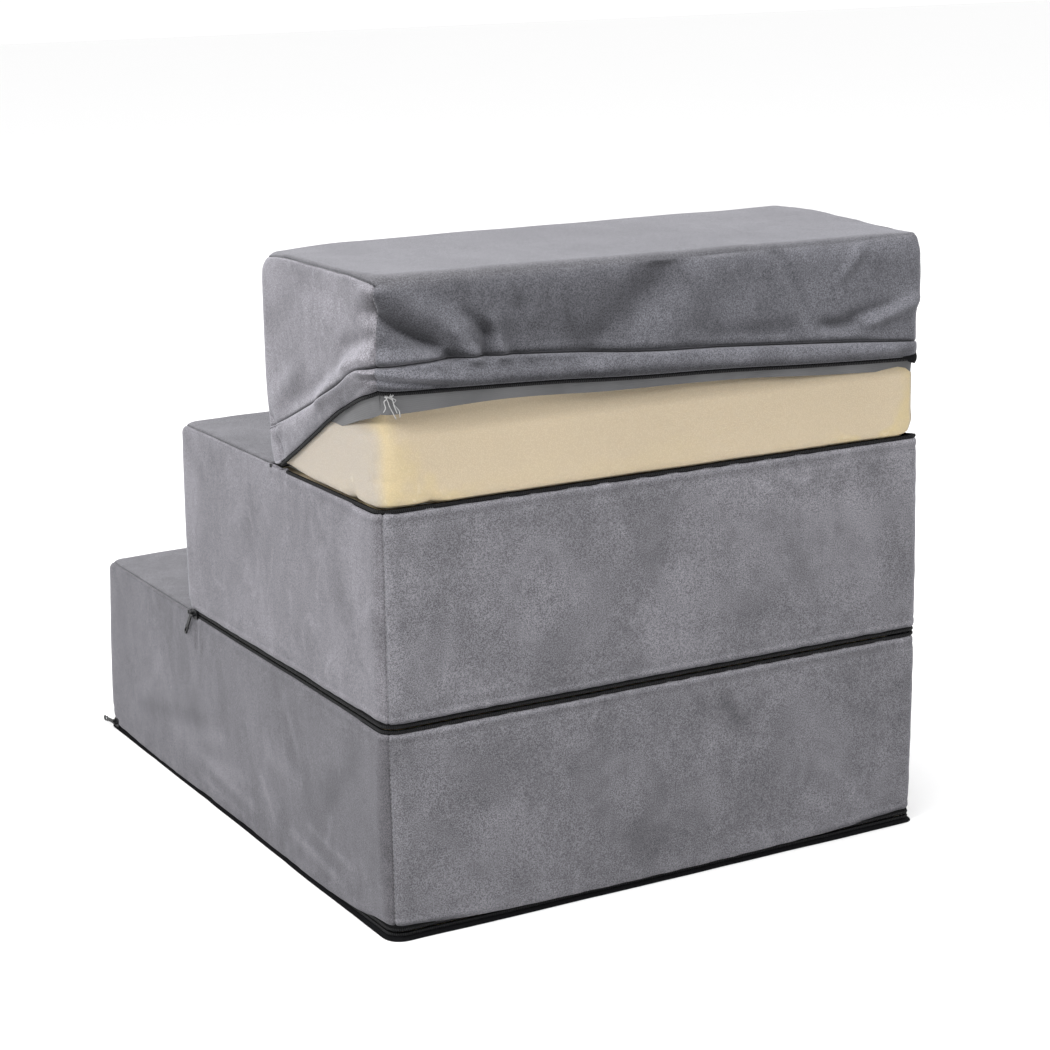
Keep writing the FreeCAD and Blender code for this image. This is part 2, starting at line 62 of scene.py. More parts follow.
MM = 0.001
TIERS = ("bottom", "middle", "top")
HANDS = ("right", "left")
ABOVE = {"bottom": "middle", "middle": "top"}
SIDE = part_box("bottom_side_panel_right")[1].x
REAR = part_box("bottom_back_panel")[1].y
RISER = {tier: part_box(f"{tier}_step_strip")[0].y for tier in TIERS}
TOP = {tier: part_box(f"{tier}_step_strip")[1].z for tier in TIERS}
FLOOR = {"bottom": 0.0, "middle": TOP["bottom"], "top": TOP["middle"]}
ROW_STEP, COLUMN_STEP, FINE_STEP = 3.6 * MM, 3.5 * MM, 2.6 * MM  # spacing of a panel's corners
BASE_ZIP = (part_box("base_zip_lower")[1].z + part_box("base_zip_upper")[0].z) / 2

# ---------------------------------------------------------------- settings


def length(name, description, default):
    return bpy.props.FloatProperty(name=name, description=description, default=default, unit="LENGTH")


def colour(name, description, default):
    return bpy.props.FloatVectorProperty(
        name=name, description=description, default=default, subtype="COLOR", size=3, min=0.0, max=1.0
    )


def angle(name, description, degrees):
    turn = math.radians(degrees)
    return bpy.props.FloatProperty(name=name, description=description, default=turn, unit="ROTATION")


class CoverSettings(bpy.types.PropertyGroup):
    """Sizes and colours of the velvet cover."""

    cloth: length("Cloth", "Thickness of the velvet", 1.6 * MM)
    rear_radius: length("Rear corner", "Rounding of the right upright rear corners", 12 * MM)
    far_radius: length("Left rear corner", "Rounding of the left upright rear corners", 7 * MM)
    left_ease: length("Left ease", "How far the cover stands off on the left", 4.5 * MM)
    front_radius: length("Front corner", "Rounding of the upright front corners", 14 * MM)
    nose_radius: length("Nose", "Rounding of a lower step's nose", 9 * MM)
    top_radius: length("Top edge", "Rounding of the top tier's long edges", 14 * MM)
    seam_radius: length("Seam edge", "Rounding where a tread meets a side", 4 * MM)
    seam_depth: length("Seam depth", "How deep a seam sits below the pile", 0.8 * MM)
    seam_width: length("Seam width", "How wide a seam's groove is", 1.5 * MM)
    opening: length("Zip opening", "Half the height of the slot a slider rests in", 3.6 * MM)
    lips: length("Zip lips", "Half the height of the slot between a zip's closed lips", 2.4 * MM)
    side_tone: colour("Side velvet", "Pile on the sides", (0.152, 0.147, 0.161))
    back_tone: colour("Back velvet", "Pile on the backs", (0.147, 0.144, 0.157))
    tread_tone: colour("Tread velvet", "Pile on risers and treads", (0.15, 0.147, 0.158))
    top_tone: colour("Top velvet", "Pile on the top cover's back", (0.1, 0.1, 0.112))
    reverse_tone: colour("Reverse", "Knitted wrong side of the velvet", (0.108, 0.108, 0.111))
    thread_tone: colour("Thread", "Sewing thread", (0.2, 0.2, 0.21))


class FoamSettings(bpy.types.PropertyGroup):
    """Sizes and colours of the foam blocks."""

    edge: length("Edge", "Rounding of the foam's upright edges", 12 * MM)
    low_edge: length("Low edge", "Rounding of the foam's lowest edges", 3 * MM)
    fresh: colour("Fresh foam", "Foam kept from the light", (0.455, 0.38, 0.275))
    aged: colour("Aged foam", "Yellowed foam along the edges", (0.52, 0.42, 0.21))
    pale: colour("Pale foam", "Freshly torn foam", (0.62, 0.56, 0.44))
    # painted shade: the bare sides' colour is darker and greyer for the shade that the cover's edge
    # casts on them
    side: colour("Side foam", "Foam on its bare sides", (0.335, 0.305, 0.27))


class ZipSettings(bpy.types.PropertyGroup):
    """Sizes and colours of the zips."""

    pitch: length("Pitch", "Spacing of the coil's loops", 1.45 * MM)
    coil_near: length("Coil near", "From the zip's middle to the coil", 0.45 * MM)
    coil_far: length("Coil far", "From the zip's middle to the coil's outer edge", 3.05 * MM)
    coil_depth: length("Coil depth", "Thickness of the coil", 1.7 * MM)
    tape_width: length("Tape", "Width of one tape", 12 * MM)
    nylon: colour("Nylon", "Coil and tape", (0.003, 0.003, 0.0035))
    enamel: colour("Enamel", "Sliders, tabs and stops", (0.005, 0.005, 0.006))


class StageSettings(bpy.types.PropertyGroup):
    """The camera, the floor and the lights."""

    camera: bpy.props.FloatVectorProperty(
        name="Camera",
        description="Where the camera stands",
        default=(0.880, 1.668, 0.674),
        unit="LENGTH",
    )
    azimuth: angle("Azimuth", "Bearing of the camera", 150.98)
    elevation: angle("Elevation", "Camera's height angle", 14.05)
    roll: angle("Roll", "Camera's tilt to one side", -1.02)
    lens: bpy.props.FloatProperty(name="Lens", description="Focal length", default=84.1, unit="CAMERA")
    paper: colour("Floor", "Colour of the floor", (0.9, 0.9, 0.9))


# ---------------------------------------------------------------- numbers and shapes


def ease(value):
    """0 to 1 with level ends."""
    share = np.clip(value, 0.0, 1.0)
    return share * share * (3 - 2 * share)


def bell(distance, width):
    """1 in the middle, fading to 0 a width or so away."""
    return np.exp(-((distance / width) ** 2))


def curve_through(knots, at):
    """A smooth line through (place, height) knots, in the order of their places."""
    places, heights = np.array(sorted(knots), float).T
    slopes = np.gradient(heights, places)
    at = np.clip(at, places[0], places[-1])
    index = np.clip(np.searchsorted(places, at) - 1, 0, len(places) - 2)
    gap = places[index + 1] - places[index]
    t = (at - places[index]) / gap
    return (
        (2 * t**3 - 3 * t**2 + 1) * heights[index]
        + (t**3 - 2 * t**2 + t) * gap * slopes[index]
        + (3 * t**2 - 2 * t**3) * heights[index + 1]
        + (t**3 - t**2) * gap * slopes[index + 1]
    )


def waves(points, seed, longest, shortest, count=7):
    """Soft rolling unevenness, about 1 high, from waves in all directions."""
    rng = np.random.default_rng(seed)
    total = np.zeros(len(points))
    for step in range(count):
        direction = rng.normal(size=3)
        direction /= np.linalg.norm(direction)
        reach = longest * (shortest / longest) ** (step / (count - 1))
        phase = rng.uniform(0, 2 * math.pi)
        total += np.sin(points @ direction * 2 * math.pi / reach + phase) * (reach / longest) ** 0.7
    return total / math.sqrt(count)


def spaced(start, end, step, fine_start=True, fine_end=True):
    """Places from start to end, closer together near a sewn end."""
    close = np.array([0.5, 1.0, 1.6, 2.3, 3.2, 4.4, 6.0, 8.0]) * MM
    span = abs(end - start)
    inner_start = close[-1] if fine_start else 0.0
    inner_end = span - (close[-1] if fine_end else 0.0)
    count = max(2, int(round((inner_end - inner_start) / step)) + 1)
    middle = np.linspace(inner_start, inner_end, count)
    runs = [[0.0], close[:-1] if fine_start else [], middle[0 if fine_start else 1 : None]]
    runs.append(span - close[:-1][::-1] if fine_end else [])
    places = np.concatenate([np.asarray(run, float) for run in runs])
    if fine_end:
        places = np.append(places, span)
    return start + places * math.copysign(1, end - start)


# Shares of a panel's height at which its rows lie, closer together at both sewn edges.
PANEL_HEIGHT = 0.15

PANEL_ROWS = spaced(0.0, PANEL_HEIGHT, ROW_STEP) / PANEL_HEIGHT


def points_of(x, y, z):
    """One list of points from grids or single numbers of x, y and z."""
    return np.stack(np.broadcast_arrays(x, y, z), -1).reshape(-1, 3)


def on_face(face, along, up):
    """Points on the sharp box's right, left or back face, from places along it and heights."""
    if face == "back":
        return points_of(along, REAR, up)
    return points_of(SIDE if face == "right" else -SIDE, along, up)


def repeated(column, count):
    """A grid that holds the same column count times."""
    return np.repeat(column[:, None], count, 1)


class TierShape:
    """The soft outer shape of one tier: a box with rounded edges and a slightly uneven skin."""

    def __init__(self, tier, cover):
        self.tier = tier
        self.cover = cover
        self.front = RISER[tier]
        self.floor = FLOOR[tier]
        self.top = TOP[tier]
        self.low = np.array([-SIDE, self.front, self.floor - 1.0])
        self.high = np.array([SIDE, REAR, self.top])

    def radii(self, raw):
        cover = self.cover
        x, y, z = raw.T
        near_front = ease(1 - (y - self.front) / (45 * MM))
        near_rear = ease(1 - (REAR - y) / (45 * MM))
        near_side = ease(1 - (SIDE - abs(x)) / (50 * MM))
        fuller = np.sin(math.pi * np.clip((z - self.floor) / (self.top - self.floor), 0, 1))
        seam = cover.seam_radius
        rx = seam + (cover.front_radius - seam) * near_front
        rear = np.where(x > 0, cover.rear_radius + 4 * MM * fuller, cover.far_radius + 1 * MM * fuller)
        rx = rx + (rear - seam) * near_rear
        if self.tier == "top":
            ry = cover.top_radius + (rear - cover.top_radius) * near_side * near_rear
            crisp = 1 - 0.7 * ease(-(x + 150 * MM) / (60 * MM))
            crisp_edge = seam + 1 * MM
            rz = crisp_edge + (cover.top_radius - crisp_edge) * np.maximum(near_front, near_rear * crisp)
        else:
            ry = cover.nose_radius + (cover.front_radius - cover.nose_radius) * near_side
            ry = ry + (rear - ry) * near_rear
            open_top = ease(1 - (y - RISER[ABOVE[self.tier]] + 6 * MM) / (6 * MM))
            rz = seam + (cover.nose_radius - seam) * near_front
            rz = 0.5 * MM + (rz - 0.5 * MM) * open_top
        return np.stack([rx, ry, rz], 1)

    def lean(self, raw):
        """How far the riser's cloth stands forward of its seams."""
        x, _, z = raw.T
        height = (z - self.floor) / (self.top - self.floor)
        if self.tier == "bottom":
            return 8 * MM * ease((self.top - z) / (110 * MM)) + 2.5 * MM * bell(z - 24 * MM, 22 * MM)
        if self.tier == "middle":
            return (2 * MM + 2.8 * MM * ease(1 - height)) * ease(height * 12)
        skew = 2.2 * MM + 4.8 * MM * (x / SIDE)
        return (2.6 * MM + skew * ease(height * 2.2)) * ease(height * 12)

    def relief(self, raw):
        """How far the skin stands out from the rounded box."""
        lift = 0.55 * MM * waves(raw, 11, 260 * MM, 55 * MM)
        height = np.clip((raw[:, 2] - self.floor) / (self.top - self.floor), 0, 1)
        lift = lift + 0.9 * MM * np.sin(math.pi * height) ** 0.7
        if self.tier == "top":
            return lift + self.top_folds(raw)
        if self.tier == "middle":
            lift = lift * (1 - self.slider_path(raw)) - 0.7 * MM * self.slider_path(raw)
        return lift + self.pressed_marks(raw)

    def slider_path(self, raw):
        """1 on the middle tier's left side where the top slider and its tab pass, 0 away from there."""
        x, y, z = raw.T / MM
        return ease((-x - 205) / 8) * ease((z - 200) / 72) * ease((y - 40) / 44) * ease((277 - y) / 10)

    def pressed_marks(self, raw):
        """Faint dents where the cloth has been handled."""
        return -0.35 * MM * ease(waves(raw, 23 + len(self.tier), 95 * MM, 30 * MM) - 0.55)

    def top_folds(self, raw):
        """The folds of the pushed-up top cover and the sag of its top."""
        x, y, z = raw.T / MM
        below_top = ease((TOP["top"] / MM - z) / 8)
        back = ease(1 - (REAR / MM - y) / 30) * below_top
        right = ease(1 - (SIDE / MM - x) / 20) * ease((REAR / MM - y) / 6) * below_top
        folds = back * ridges_over(x, z, BACK_FOLDS) + right * ridges_over(y, z, SIDE_FOLDS)
        return folds * MM + top_sag(x, y, z)

    def place(self, raw, lift=0.0):
        """The points that raw points on the sharp box move to, and which way the skin faces there."""
        radii = self.radii(raw)
        inner = np.clip(raw, self.low + radii, self.high - radii)
        out = (raw - inner) / radii
        out /= np.linalg.norm(out, axis=1)[:, None]
        normal = out / radii
        normal /= np.linalg.norm(normal, axis=1)[:, None]
        points = inner + out * radii + normal * (self.relief(raw) + lift)[:, None]
        points[:, 1] -= self.lean(raw) * ease(1 - (raw[:, 1] - self.front) / (90 * MM))
        from_left = (raw[:, 0] + SIDE) / (60 * MM)
        eased = self.cover.left_ease * ease(1 - from_left) * ease((raw[:, 1] - self.front) / (120 * MM))
        if self.tier == "top":
            eased *= 0.25 + 0.75 * ease((raw[:, 2] - 386 * MM) / (16 * MM))
        elif self.tier == "middle":
            eased *= 1 - self.slider_path(raw)
        points[:, 0] -= eased
        return points, normal


def fold_height(across, up, x0, z0, x1, z1, width):
    """A soft ridge along a line from (x0, z0) to (x1, z1), in millimetres of a face's own plane."""
    run = np.array([x1 - x0, z1 - z0], float)
    reach = np.linalg.norm(run)
    run /= reach
    along = (across - x0) * run[0] + (up - z0) * run[1]
    off = -(across - x0) * run[1] + (up - z0) * run[0]
    beyond = np.maximum(0, np.maximum(-along, along - reach))
    return np.exp(-((off / width) ** 2) - (beyond / (width * 1.6)) ** 2)


def ridges_over(across, up, ridges):
    """The heights of all ridges and valleys of a list, added up."""
    total = np.zeros(np.shape(up))
    for *ridge, height in ridges:
        total += height * fold_height(across, up, *ridge)
    return total


def top_sag(x, y, z):
    """How the top face rises a little to the right and sags to the left, for places in millimetres."""
    over = ease((z - 430) / 20) * MM
    across = ease((y - 120) / 140)
    front_corner = ease(1 - (y - 103) / 50) * ease((x - 150) / 60)
    return over * (1.5 - 5.0 * across * (SIDE / MM - x) / (2 * SIDE / MM) - 3.0 * front_corner)


# Ridges (+) and valleys (-) of the lifted cover, in mm: two ends on the face, width and height.
BACK_FOLDS = (
    (218, 428, 164, 396, 5.5, -4.4), (196, 415, 160, 396, 2.4, -1.8), (212, 399, 170, 399, 4.5, 3.8),
    (214, 441, 160, 413, 8.0, 2.4), (158, 409, 146, 396, 4.2, 3.0), (147, 421, 135, 409, 4.5, -2.8),
    (135, 409, 137, 396, 4.2, -3.2), (132, 415, 125, 396, 4.5, 2.6), (112, 421, 116, 398, 6.0, -2.4),
    (52, 394, 9, 424, 14.0, -4.4), (9, 424, 4, 432, 12.0, -1.6), (-10, 400, -40, 430, 16.0, 3.0),
    (-46, 388, -100, 386, 7.0, -2.4), (-168, 386, -205, 397, 5.0, 3.8),
    (-136, 387, -164, 386, 5.0, -3.0), (-158, 391, -186, 396, 4.0, -2.6),
    (-150, 422, -165, 438, 4.0, 1.8), (-95, 440, -116, 402, 5.0, -1.3), (217, 390, 157, 381, 2.6, 1.5),
    (217, 386, 172, 378, 2.2, -2.0),
)
SIDE_FOLDS = (
    (278, 404, 246, 391, 6.0, 3.4), (246, 391, 200, 363, 6.0, 2.8), (278, 414, 238, 402, 6.0, -2.0),
    (200, 372, 150, 350, 6.0, -1.2), (98, 326, 113, 321, 3.0, -2.4), (113, 321, 131, 327, 3.0, 1.8),
    (118, 332, 130, 314, 4.0, -2.0), (160, 372, 128, 350, 8.0, 1.4), (270, 382, 235, 362, 3.0, -1.0),
)

# Smudges of the pile on a tier's panels, and on the top tier painted highlights along ridges and the
# hem's lip and painted shadows in valleys and at the crease: two ends in mm on the panel, width in mm,
# strength.
SMUDGES_AND_PAINTED_LIGHT = {
    ("side", "bottom"): (
        (-38, 32, 43, 24, 5.0, 0.35), (-54, 16, 21, 11, 3.0, 0.26), (65, 52, 82, 29, 3.5, 0.31),
        (119, 27, 194, 18, 4.0, 0.35), (150, 42, 218, 34, 3.0, 0.26), (179, 39, 186, 59, 3.0, 0.22),
        (-102, 42, -13, 62, 9.0, 0.18), (-69, 118, -64, 100, 6.0, 0.26),
        (-186, 41, -48, 66, 8.0, -0.18), (111, 129, 131, 93, 6.0, 0.18), (25, 40, -73, 32, 7.0, 0.22),
        (236, 125, 188, 75, 10.0, -0.13), (81, 78, 129, 72, 9.0, 0.18),
        (-140, 89, -195, 39, 9.0, 0.15), (-225, 120, -215, 70, 14.0, -0.12),
        (-150, 100, -120, 60, 18.0, 0.12), (-60, 60, -20, 20, 12.0, -0.12),
        (40, 110, 70, 40, 18.0, 0.09), (120, 110, 160, 50, 16.0, -0.13),
        (210, 100, 235, 30, 14.0, 0.08),
    ),
    ("back", "bottom"): (
        (-52, 124, -60, 112, 7.0, -0.22), (-30, 130, -34, 122, 5.0, -0.16),
        (-72, 110, -80, 118, 5.0, -0.14), (-140, 60, -175, 22, 5.0, 0.10),
        (-120, 40, -160, 12, 4.0, 0.09), (60, 60, 20, 40, 16.0, -0.07),
        (110, 100, 150, 60, 22.0, 0.06),
    ),
    ("back", "middle"): (
        (90, 250, 60, 215, 20.0, 0.08), (-100, 284, -118, 280, 3.0, 0.25),
        (-80, 281, -90, 275, 2.6, 0.2), (-180, 270, -200, 220, 14.0, -0.1),
        (-60, 190, -160, 170, 12.0, -0.07), (30, 200, 0, 260, 18.0, -0.07),
    ),
    ("side", "middle"): (
        (-50, 285, -30, 268, 9.0, -0.16), (-20, 290, 0, 282, 7.0, -0.12),
        (-40, 240, -45, 190, 8.0, 0.07), (60, 250, 20, 190, 16.0, -0.08),
        (150, 230, 190, 180, 14.0, 0.08), (200, 260, 230, 215, 12.0, -0.1),
    ),
    # Painted light: the last four strokes here are painted highlights along the fold ridges above the
    # crease and one painted shadow beside a fold's valley.
    ("side", "top"): (
        (125, 405, 150, 420, 10.0, -0.14), (165, 400, 158, 370, 8.0, -0.1),
        (200, 425, 240, 410, 16.0, 0.07), (118, 370, 125, 345, 9.0, 0.1),
        (276, 400, 240, 385, 5.0, 0.22), (262, 384, 200, 357, 4.0, -0.2),
        (276, 397, 222, 377, 2.4, 0.3), (222, 368, 140, 331, 2.4, 0.2),
    ),
    # Mostly painted light: highlights on the hem roll's lip and along fold ridges, and painted shadows
    # under and above the crease, low on the roll and in fold valleys.
    ("top", "top"): (
        (217, 387, 50, 381, 4.6, 0.42), (50, 381, -60, 374, 4.6, 0.45),
        (-60, 374, -190, 366, 4.6, 0.4), (165, 396, 60, 390, 3.2, -0.42),
        (60, 390, -60, 383, 3.2, -0.4), (-60, 383, -170, 375, 3.2, -0.35),
        (130, 405, 60, 400, 12.0, -0.14), (215, 377, 60, 371, 4.6, -0.3),
        (60, 371, -60, 364, 4.6, -0.28), (-60, 364, -200, 357, 4.0, -0.22),
        (60, 425, -10, 430, 16.0, -0.12), (-70, 415, -190, 408, 24.0, 0.1),
        (206, 399, 172, 400, 4.0, 0.42), (214, 426, 168, 399, 3.4, -0.34),
        (157, 406, 147, 396, 3.0, 0.42), (146, 418, 136, 408, 4.0, -0.22),
        (135, 408, 137, 397, 3.4, -0.36), (131, 412, 126, 397, 3.2, 0.2),
        (190, 440, 150, 428, 9.0, 0.1), (-172, 386, -204, 395, 3.6, 0.4),
        (-140, 387, -165, 386, 4.0, -0.24),
    ),
}

# Heights in mm above the floor, along the side (by y) and across the back (by x).
CREASE_SIDE = ((103, 323), (140, 336), (175, 351), (225, 373), (261, 390), (279, 393))
ZIP_SIDE = (
    (103, 301), (121, 302), (130, 306), (150, 316), (185, 336), (230, 360), (262, 373), (279, 378),
)
FOAM_SIDE = ((176, 334), (190, 337), (205, 341.5), (225, 347), (255, 356), (279, 362))
CREASE_BACK = ((-217, 368), (-172, 372), (-60, 380), (50, 387), (80, 390), (165, 394), (217, 393))
ZIP_BACK = (
    (-217, 357), (-130, 361), (-61, 365), (50, 370), (81, 372), (148, 375), (198, 377), (217, 378),
)
FOAM_BACK = ((-217, 346), (-151, 351), (-32, 358), (50, 360), (81, 362), (217, 362))
LEFT_DROP = 25  # mm that the left rear corner of the lifted hem lies below the right one


def hem_heights(face, place):
    """Heights of the crease, the zip and the facing's edge at places along a face, in metres."""
    if face == "back":
        return [curve_through(knots, place / MM) * MM for knots in (CREASE_BACK, ZIP_BACK, FOAM_BACK)]
    heights = [curve_through(knots, place / MM) * MM for knots in (CREASE_SIDE, ZIP_SIDE, FOAM_SIDE)]
    if face == "left":
        share = ease((place / MM - 120) / (279 - 120))
        for index, drop in enumerate((LEFT_DROP, LEFT_DROP - 4, LEFT_DROP - 9)):
            heights[index] = heights[index] - drop * MM * share
    return heights


# The lifted hem's section in mm: how far it stands out, what its height is measured from, and the rise.
HEM_SECTION = (
    (0.1, "crease", 15.0),
    (0.6, "crease", 9.0),
    (1.4, "crease", 4.5),
    (1.2, "crease", 2.0),
    (-1.6, "crease", 0.6),
    (-4.2, "crease", -0.6),
    (-1.4, "crease", -0.4),
    (2.0, "crease", 0.2),
    (4.4, "crease", -1.0),
    (5.2, "crease", -3.6),
    (4.6, "middle", 0.0),
    (3.6, "zip", 4.4),
    (2.5, "zip", 1.8),
    (1.4, "zip", 0.5),
    (0.2, "zip", 0.4),
)


def spline_weights(knots, samples):
    """Rows of weights that turn knots into a smooth line of samples."""
    rows = np.zeros((samples, knots))
    for row, t in enumerate(np.linspace(0, knots - 1, samples)):
        start = min(int(t), knots - 2)
        s = t - start
        weights = (
            -0.5 * s + s**2 - 0.5 * s**3,
            1 - 2.5 * s**2 + 1.5 * s**3,
            0.5 * s + 2 * s**2 - 1.5 * s**3,
            -0.5 * s**2 + 0.5 * s**3,
        )
        for offset, weight in zip((-1, 0, 1, 2), weights):
            rows[row, min(max(start + offset, 0), knots - 1)] += weight
    return rows


# ---------------------------------------------------------------- pieces


def deselect():
    bpy.ops.object.select_all(action="DESELECT")


def make_active(piece):
    deselect()
    piece.select_set(True)
    bpy.context.view_layer.objects.active = piece


def apply_scale(piece, scale, location=False):
    """Scale a piece and make the scale its mesh's own."""
    piece.scale = scale
    bpy.ops.object.transform_apply(location=location, rotation=False, scale=True)


def use_modifier(piece, kind, **settings):
    """Add a modifier and apply it."""
    modifier = piece.modifiers.new(kind.title(), kind)
    for name, value in settings.items():
        setattr(modifier, name, value)
    make_active(piece)
    bpy.ops.object.modifier_apply(modifier=modifier.name)


def painted_light_on_pile(points, facing, marks):
    """Painted light and shade on the pile, light (+) or dark (-): painted highlight where the cloth tips
    upward, painted shade where it tips downward, with the marks added.
    """
    normal = np.cross(np.gradient(points, axis=0), np.gradient(points, axis=1))
    normal /= np.maximum(np.linalg.norm(normal, axis=2), 1e-12)[:, :, None]
    normal *= np.sign(np.sum(normal * facing, 2))[:, :, None]
    # painted light: how far the cloth's surface tips up (lighter) or down (darker)
    tip = normal[:, :, 2] - facing[:, :, 2]
    return 0.75 * tip + marks


def lay_sheet(name, points, pile=None):
    """A flat grid of quads whose corners then move to the points (columns, rows, 3)."""
    columns, rows = points.shape[:2]
    deselect()
    bpy.ops.mesh.primitive_grid_add(x_subdivisions=columns - 1, y_subdivisions=rows - 1, size=1)
    piece = bpy.context.object
    piece.name = piece.data.name = name
    flat = np.empty(len(piece.data.vertices) * 3)
    piece.data.vertices.foreach_get("co", flat)
    flat = flat.reshape(-1, 3)
    column = np.rint((flat[:, 0] + 0.5) * (columns - 1)).astype(int)
    row = np.rint((flat[:, 1] + 0.5) * (rows - 1)).astype(int)
    piece.data.vertices.foreach_set("co", points[column, row].ravel())
    if pile is not None:
        # the pile attribute carries the painted light and shade and the hand marks of the velvet
        attribute = piece.data.attributes.new("pile", "FLOAT", "POINT")
        attribute.data.foreach_set("value", pile[column, row].ravel())
    piece.data.update()
    return piece


def hand_marks_and_painted_light(raw, face, tier):
    """Patches where hands have stroked the pile, soft clouds and a few smudges of their own, and for the
    top tier painted highlights and shadows along its folds and hem.
    """
    clouds = 0.045 * waves(raw, 101 + len(tier), 150 * MM, 24 * MM, 9)
    across = (raw[:, 1] if face == "side" else raw[:, 0]) / MM
    return clouds + ridges_over(across, raw[:, 2] / MM, SMUDGES_AND_PAINTED_LIGHT.get((face, tier), ()))


def thicken(piece, thickness):
    use_modifier(piece, "SOLIDIFY", thickness=thickness, offset=-1.0)
    make_active(piece)
    bpy.ops.object.shade_smooth_by_angle(angle=math.radians(45))


# The joints that fold the two upper tiers, and how much of its depth a fully folded tier keeps.
PRESSED = {"middle": ("middle_fold", 0.99), "top": ("top_fold", 0.975)}


def finish_piece(piece, tier, material, replaces=()):
    """Give a piece its material and tie it to its tier; a piece of an upper tier gets a mesh of its own.
    """
    piece.data.materials.clear()
    piece.data.materials.append(material)
    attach(piece, f"{tier}_tier")
    if tier in PRESSED:
        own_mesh(piece)
    if replaces:
        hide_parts(*replaces)
    return piece


def seam_drop(distance, cover):
    """How deep the pile dips towards a sewn edge."""
    return -cover.seam_depth * bell(distance, cover.seam_width)


def hem_drop(distance):
    """How deep a turned edge curls in beside a zip, with the line of stitches behind it."""
    return (-1.9 * bell(distance, 1.8 * MM) - 0.45 * bell(distance - 8 * MM, 1.6 * MM)) * MM


def puckers(raw, distance, seed):
    """Small gathers that run out from a seam."""
    return 0.28 * MM * waves(raw, seed, 26 * MM, 11 * MM, 5) * np.exp(-distance / (14 * MM))


GROOVE_SHADE = 0.09  # how much darker the pile looks for each millimetre that it lies deeper
DARKEST = -0.4


def velvet_panel(name, shape, raw, lift, size, face, node, flip=False):
    """A panel of a tier's cover, with painted light and shade and hand marks on its pile, its finish and
    the size it was cut to.
    """
    tier, cover = shape.tier, shape.cover
    points, facing = shape.place(raw, lift)
    # painted shade: the pile is darker where seams and hems dip in, plus the hand marks and painted
    # light
    marks = GROOVE_SHADE * np.minimum(lift, 0.0) / MM + hand_marks_and_painted_light(raw, face, tier)
    points, facing = points.reshape(*size, 3), facing.reshape(*size, 3)
    pile = painted_light_on_pile(points, facing, np.maximum(marks, DARKEST).reshape(size))
    if flip:
        points, pile = points[::-1], pile[::-1]
    piece = lay_sheet(name, points, pile)
    thicken(piece, cover.cloth)
    finish_piece(piece, tier, velvet(cover, face, tier), [node])


# ---------------------------------------------------------------- velvet panels


def zip_gap(y, start, cover):
    """Half the height of a zip's slot: closed in front, and widest where the slider can end."""
    slit = 0.25 * MM
    mouth = ease((y - start) / (12 * MM))
    lips = cover.lips * (0.55 + 0.45 * ease((y - start) / (230 * MM)))
    end = ease((y - REAR + 48 * MM) / (12 * MM)) * ease((REAR - y) / (12 * MM))
    return slit + (lips - slit + (cover.opening - lips) * end) * mouth


# How far back from the riser a zip's slot starts.
ZIP_START = {"middle": RISER["middle"] + 10 * MM, "top": RISER["top"] + 20 * MM}

# Heights in mm of the lowest hem, along the side (by y) and across the back (by x).
BASE_HEM_SIDE = (
    (-261, 8.6), (-253, 8.4), (-241, 5.2), (-222, 4.2), (0, 3.6),
    (130, 3.6), (200, 4.6), (242, 7.4), (262, 8.8), (279, 9.6),
)
BASE_HEM_BACK = ((-217, 9.6), (-180, 8.2), (-100, 6.2), (0, 5.4), (110, 6.0), (190, 8.4), (217, 9.6))

STRIP_FOOT = 0.6 * MM  # how far above its tier's floor a strip is sewn

# A small tug in the right side's top seam, as ridges in mm.
SEAM_TUG = ((-55, 146, -54, 124, 2.2, -1.1), (-50, 145, -48, 126, 3.0, 0.7))


def lower_side_panel(tier, hand, cover):
    """A side of a lower tier, from the front corner to the rear one."""
    shape = TierShape(tier, cover)
    above = ABOVE[tier]
    along = spaced(shape.front, REAR, COLUMN_STEP)
    count = len(PANEL_ROWS)
    if tier == "bottom":
        low = curve_through(BASE_HEM_SIDE, along / MM) * MM
        hanging = repeated(ease((8.8 * MM - low) / (3 * MM)), count).ravel()
    else:
        low = shape.floor + zip_gap(along, ZIP_START["middle"], cover)
        hanging = 0.0
    past = ease((along - RISER[above]) / (5 * MM))
    high = shape.top - past * zip_gap(along, ZIP_START[above], cover)
    y = repeated(along, count)
    z = low[:, None] + (high - low)[:, None] * PANEL_ROWS
    raw = on_face(hand, y, z)
    to_rear = REAR - raw[:, 1]
    to_low = (z - low[:, None]).ravel()
    to_high = (high[:, None] - z).ravel()
    sewn_top = repeated(1 - past, count).ravel()
    lift = seam_drop(raw[:, 1] - shape.front, cover) + seam_drop(to_rear, cover)
    lift += (1 - hanging) * hem_drop(to_low)
    lift += hanging * (0.9 * MM * bell(to_low, 7 * MM) - 0.4 * MM * bell(to_low - 9 * MM, 1.6 * MM))
    lift += sewn_top * seam_drop(to_high, cover) + (1 - sewn_top) * hem_drop(to_high)
    lift += puckers(raw, np.minimum(to_low, to_high), 31) + puckers(raw, to_rear, 37) * 0.6
    if (tier, hand) == ("bottom", "right"):
        lift += ridges_over(raw[:, 1] / MM, raw[:, 2] / MM, SEAM_TUG) * MM
    name, node = f"{tier}_cover_side_{hand}", f"{tier}_side_panel_{hand}"
    velvet_panel(name, shape, raw, lift, y.shape, "side", node, hand == "left")


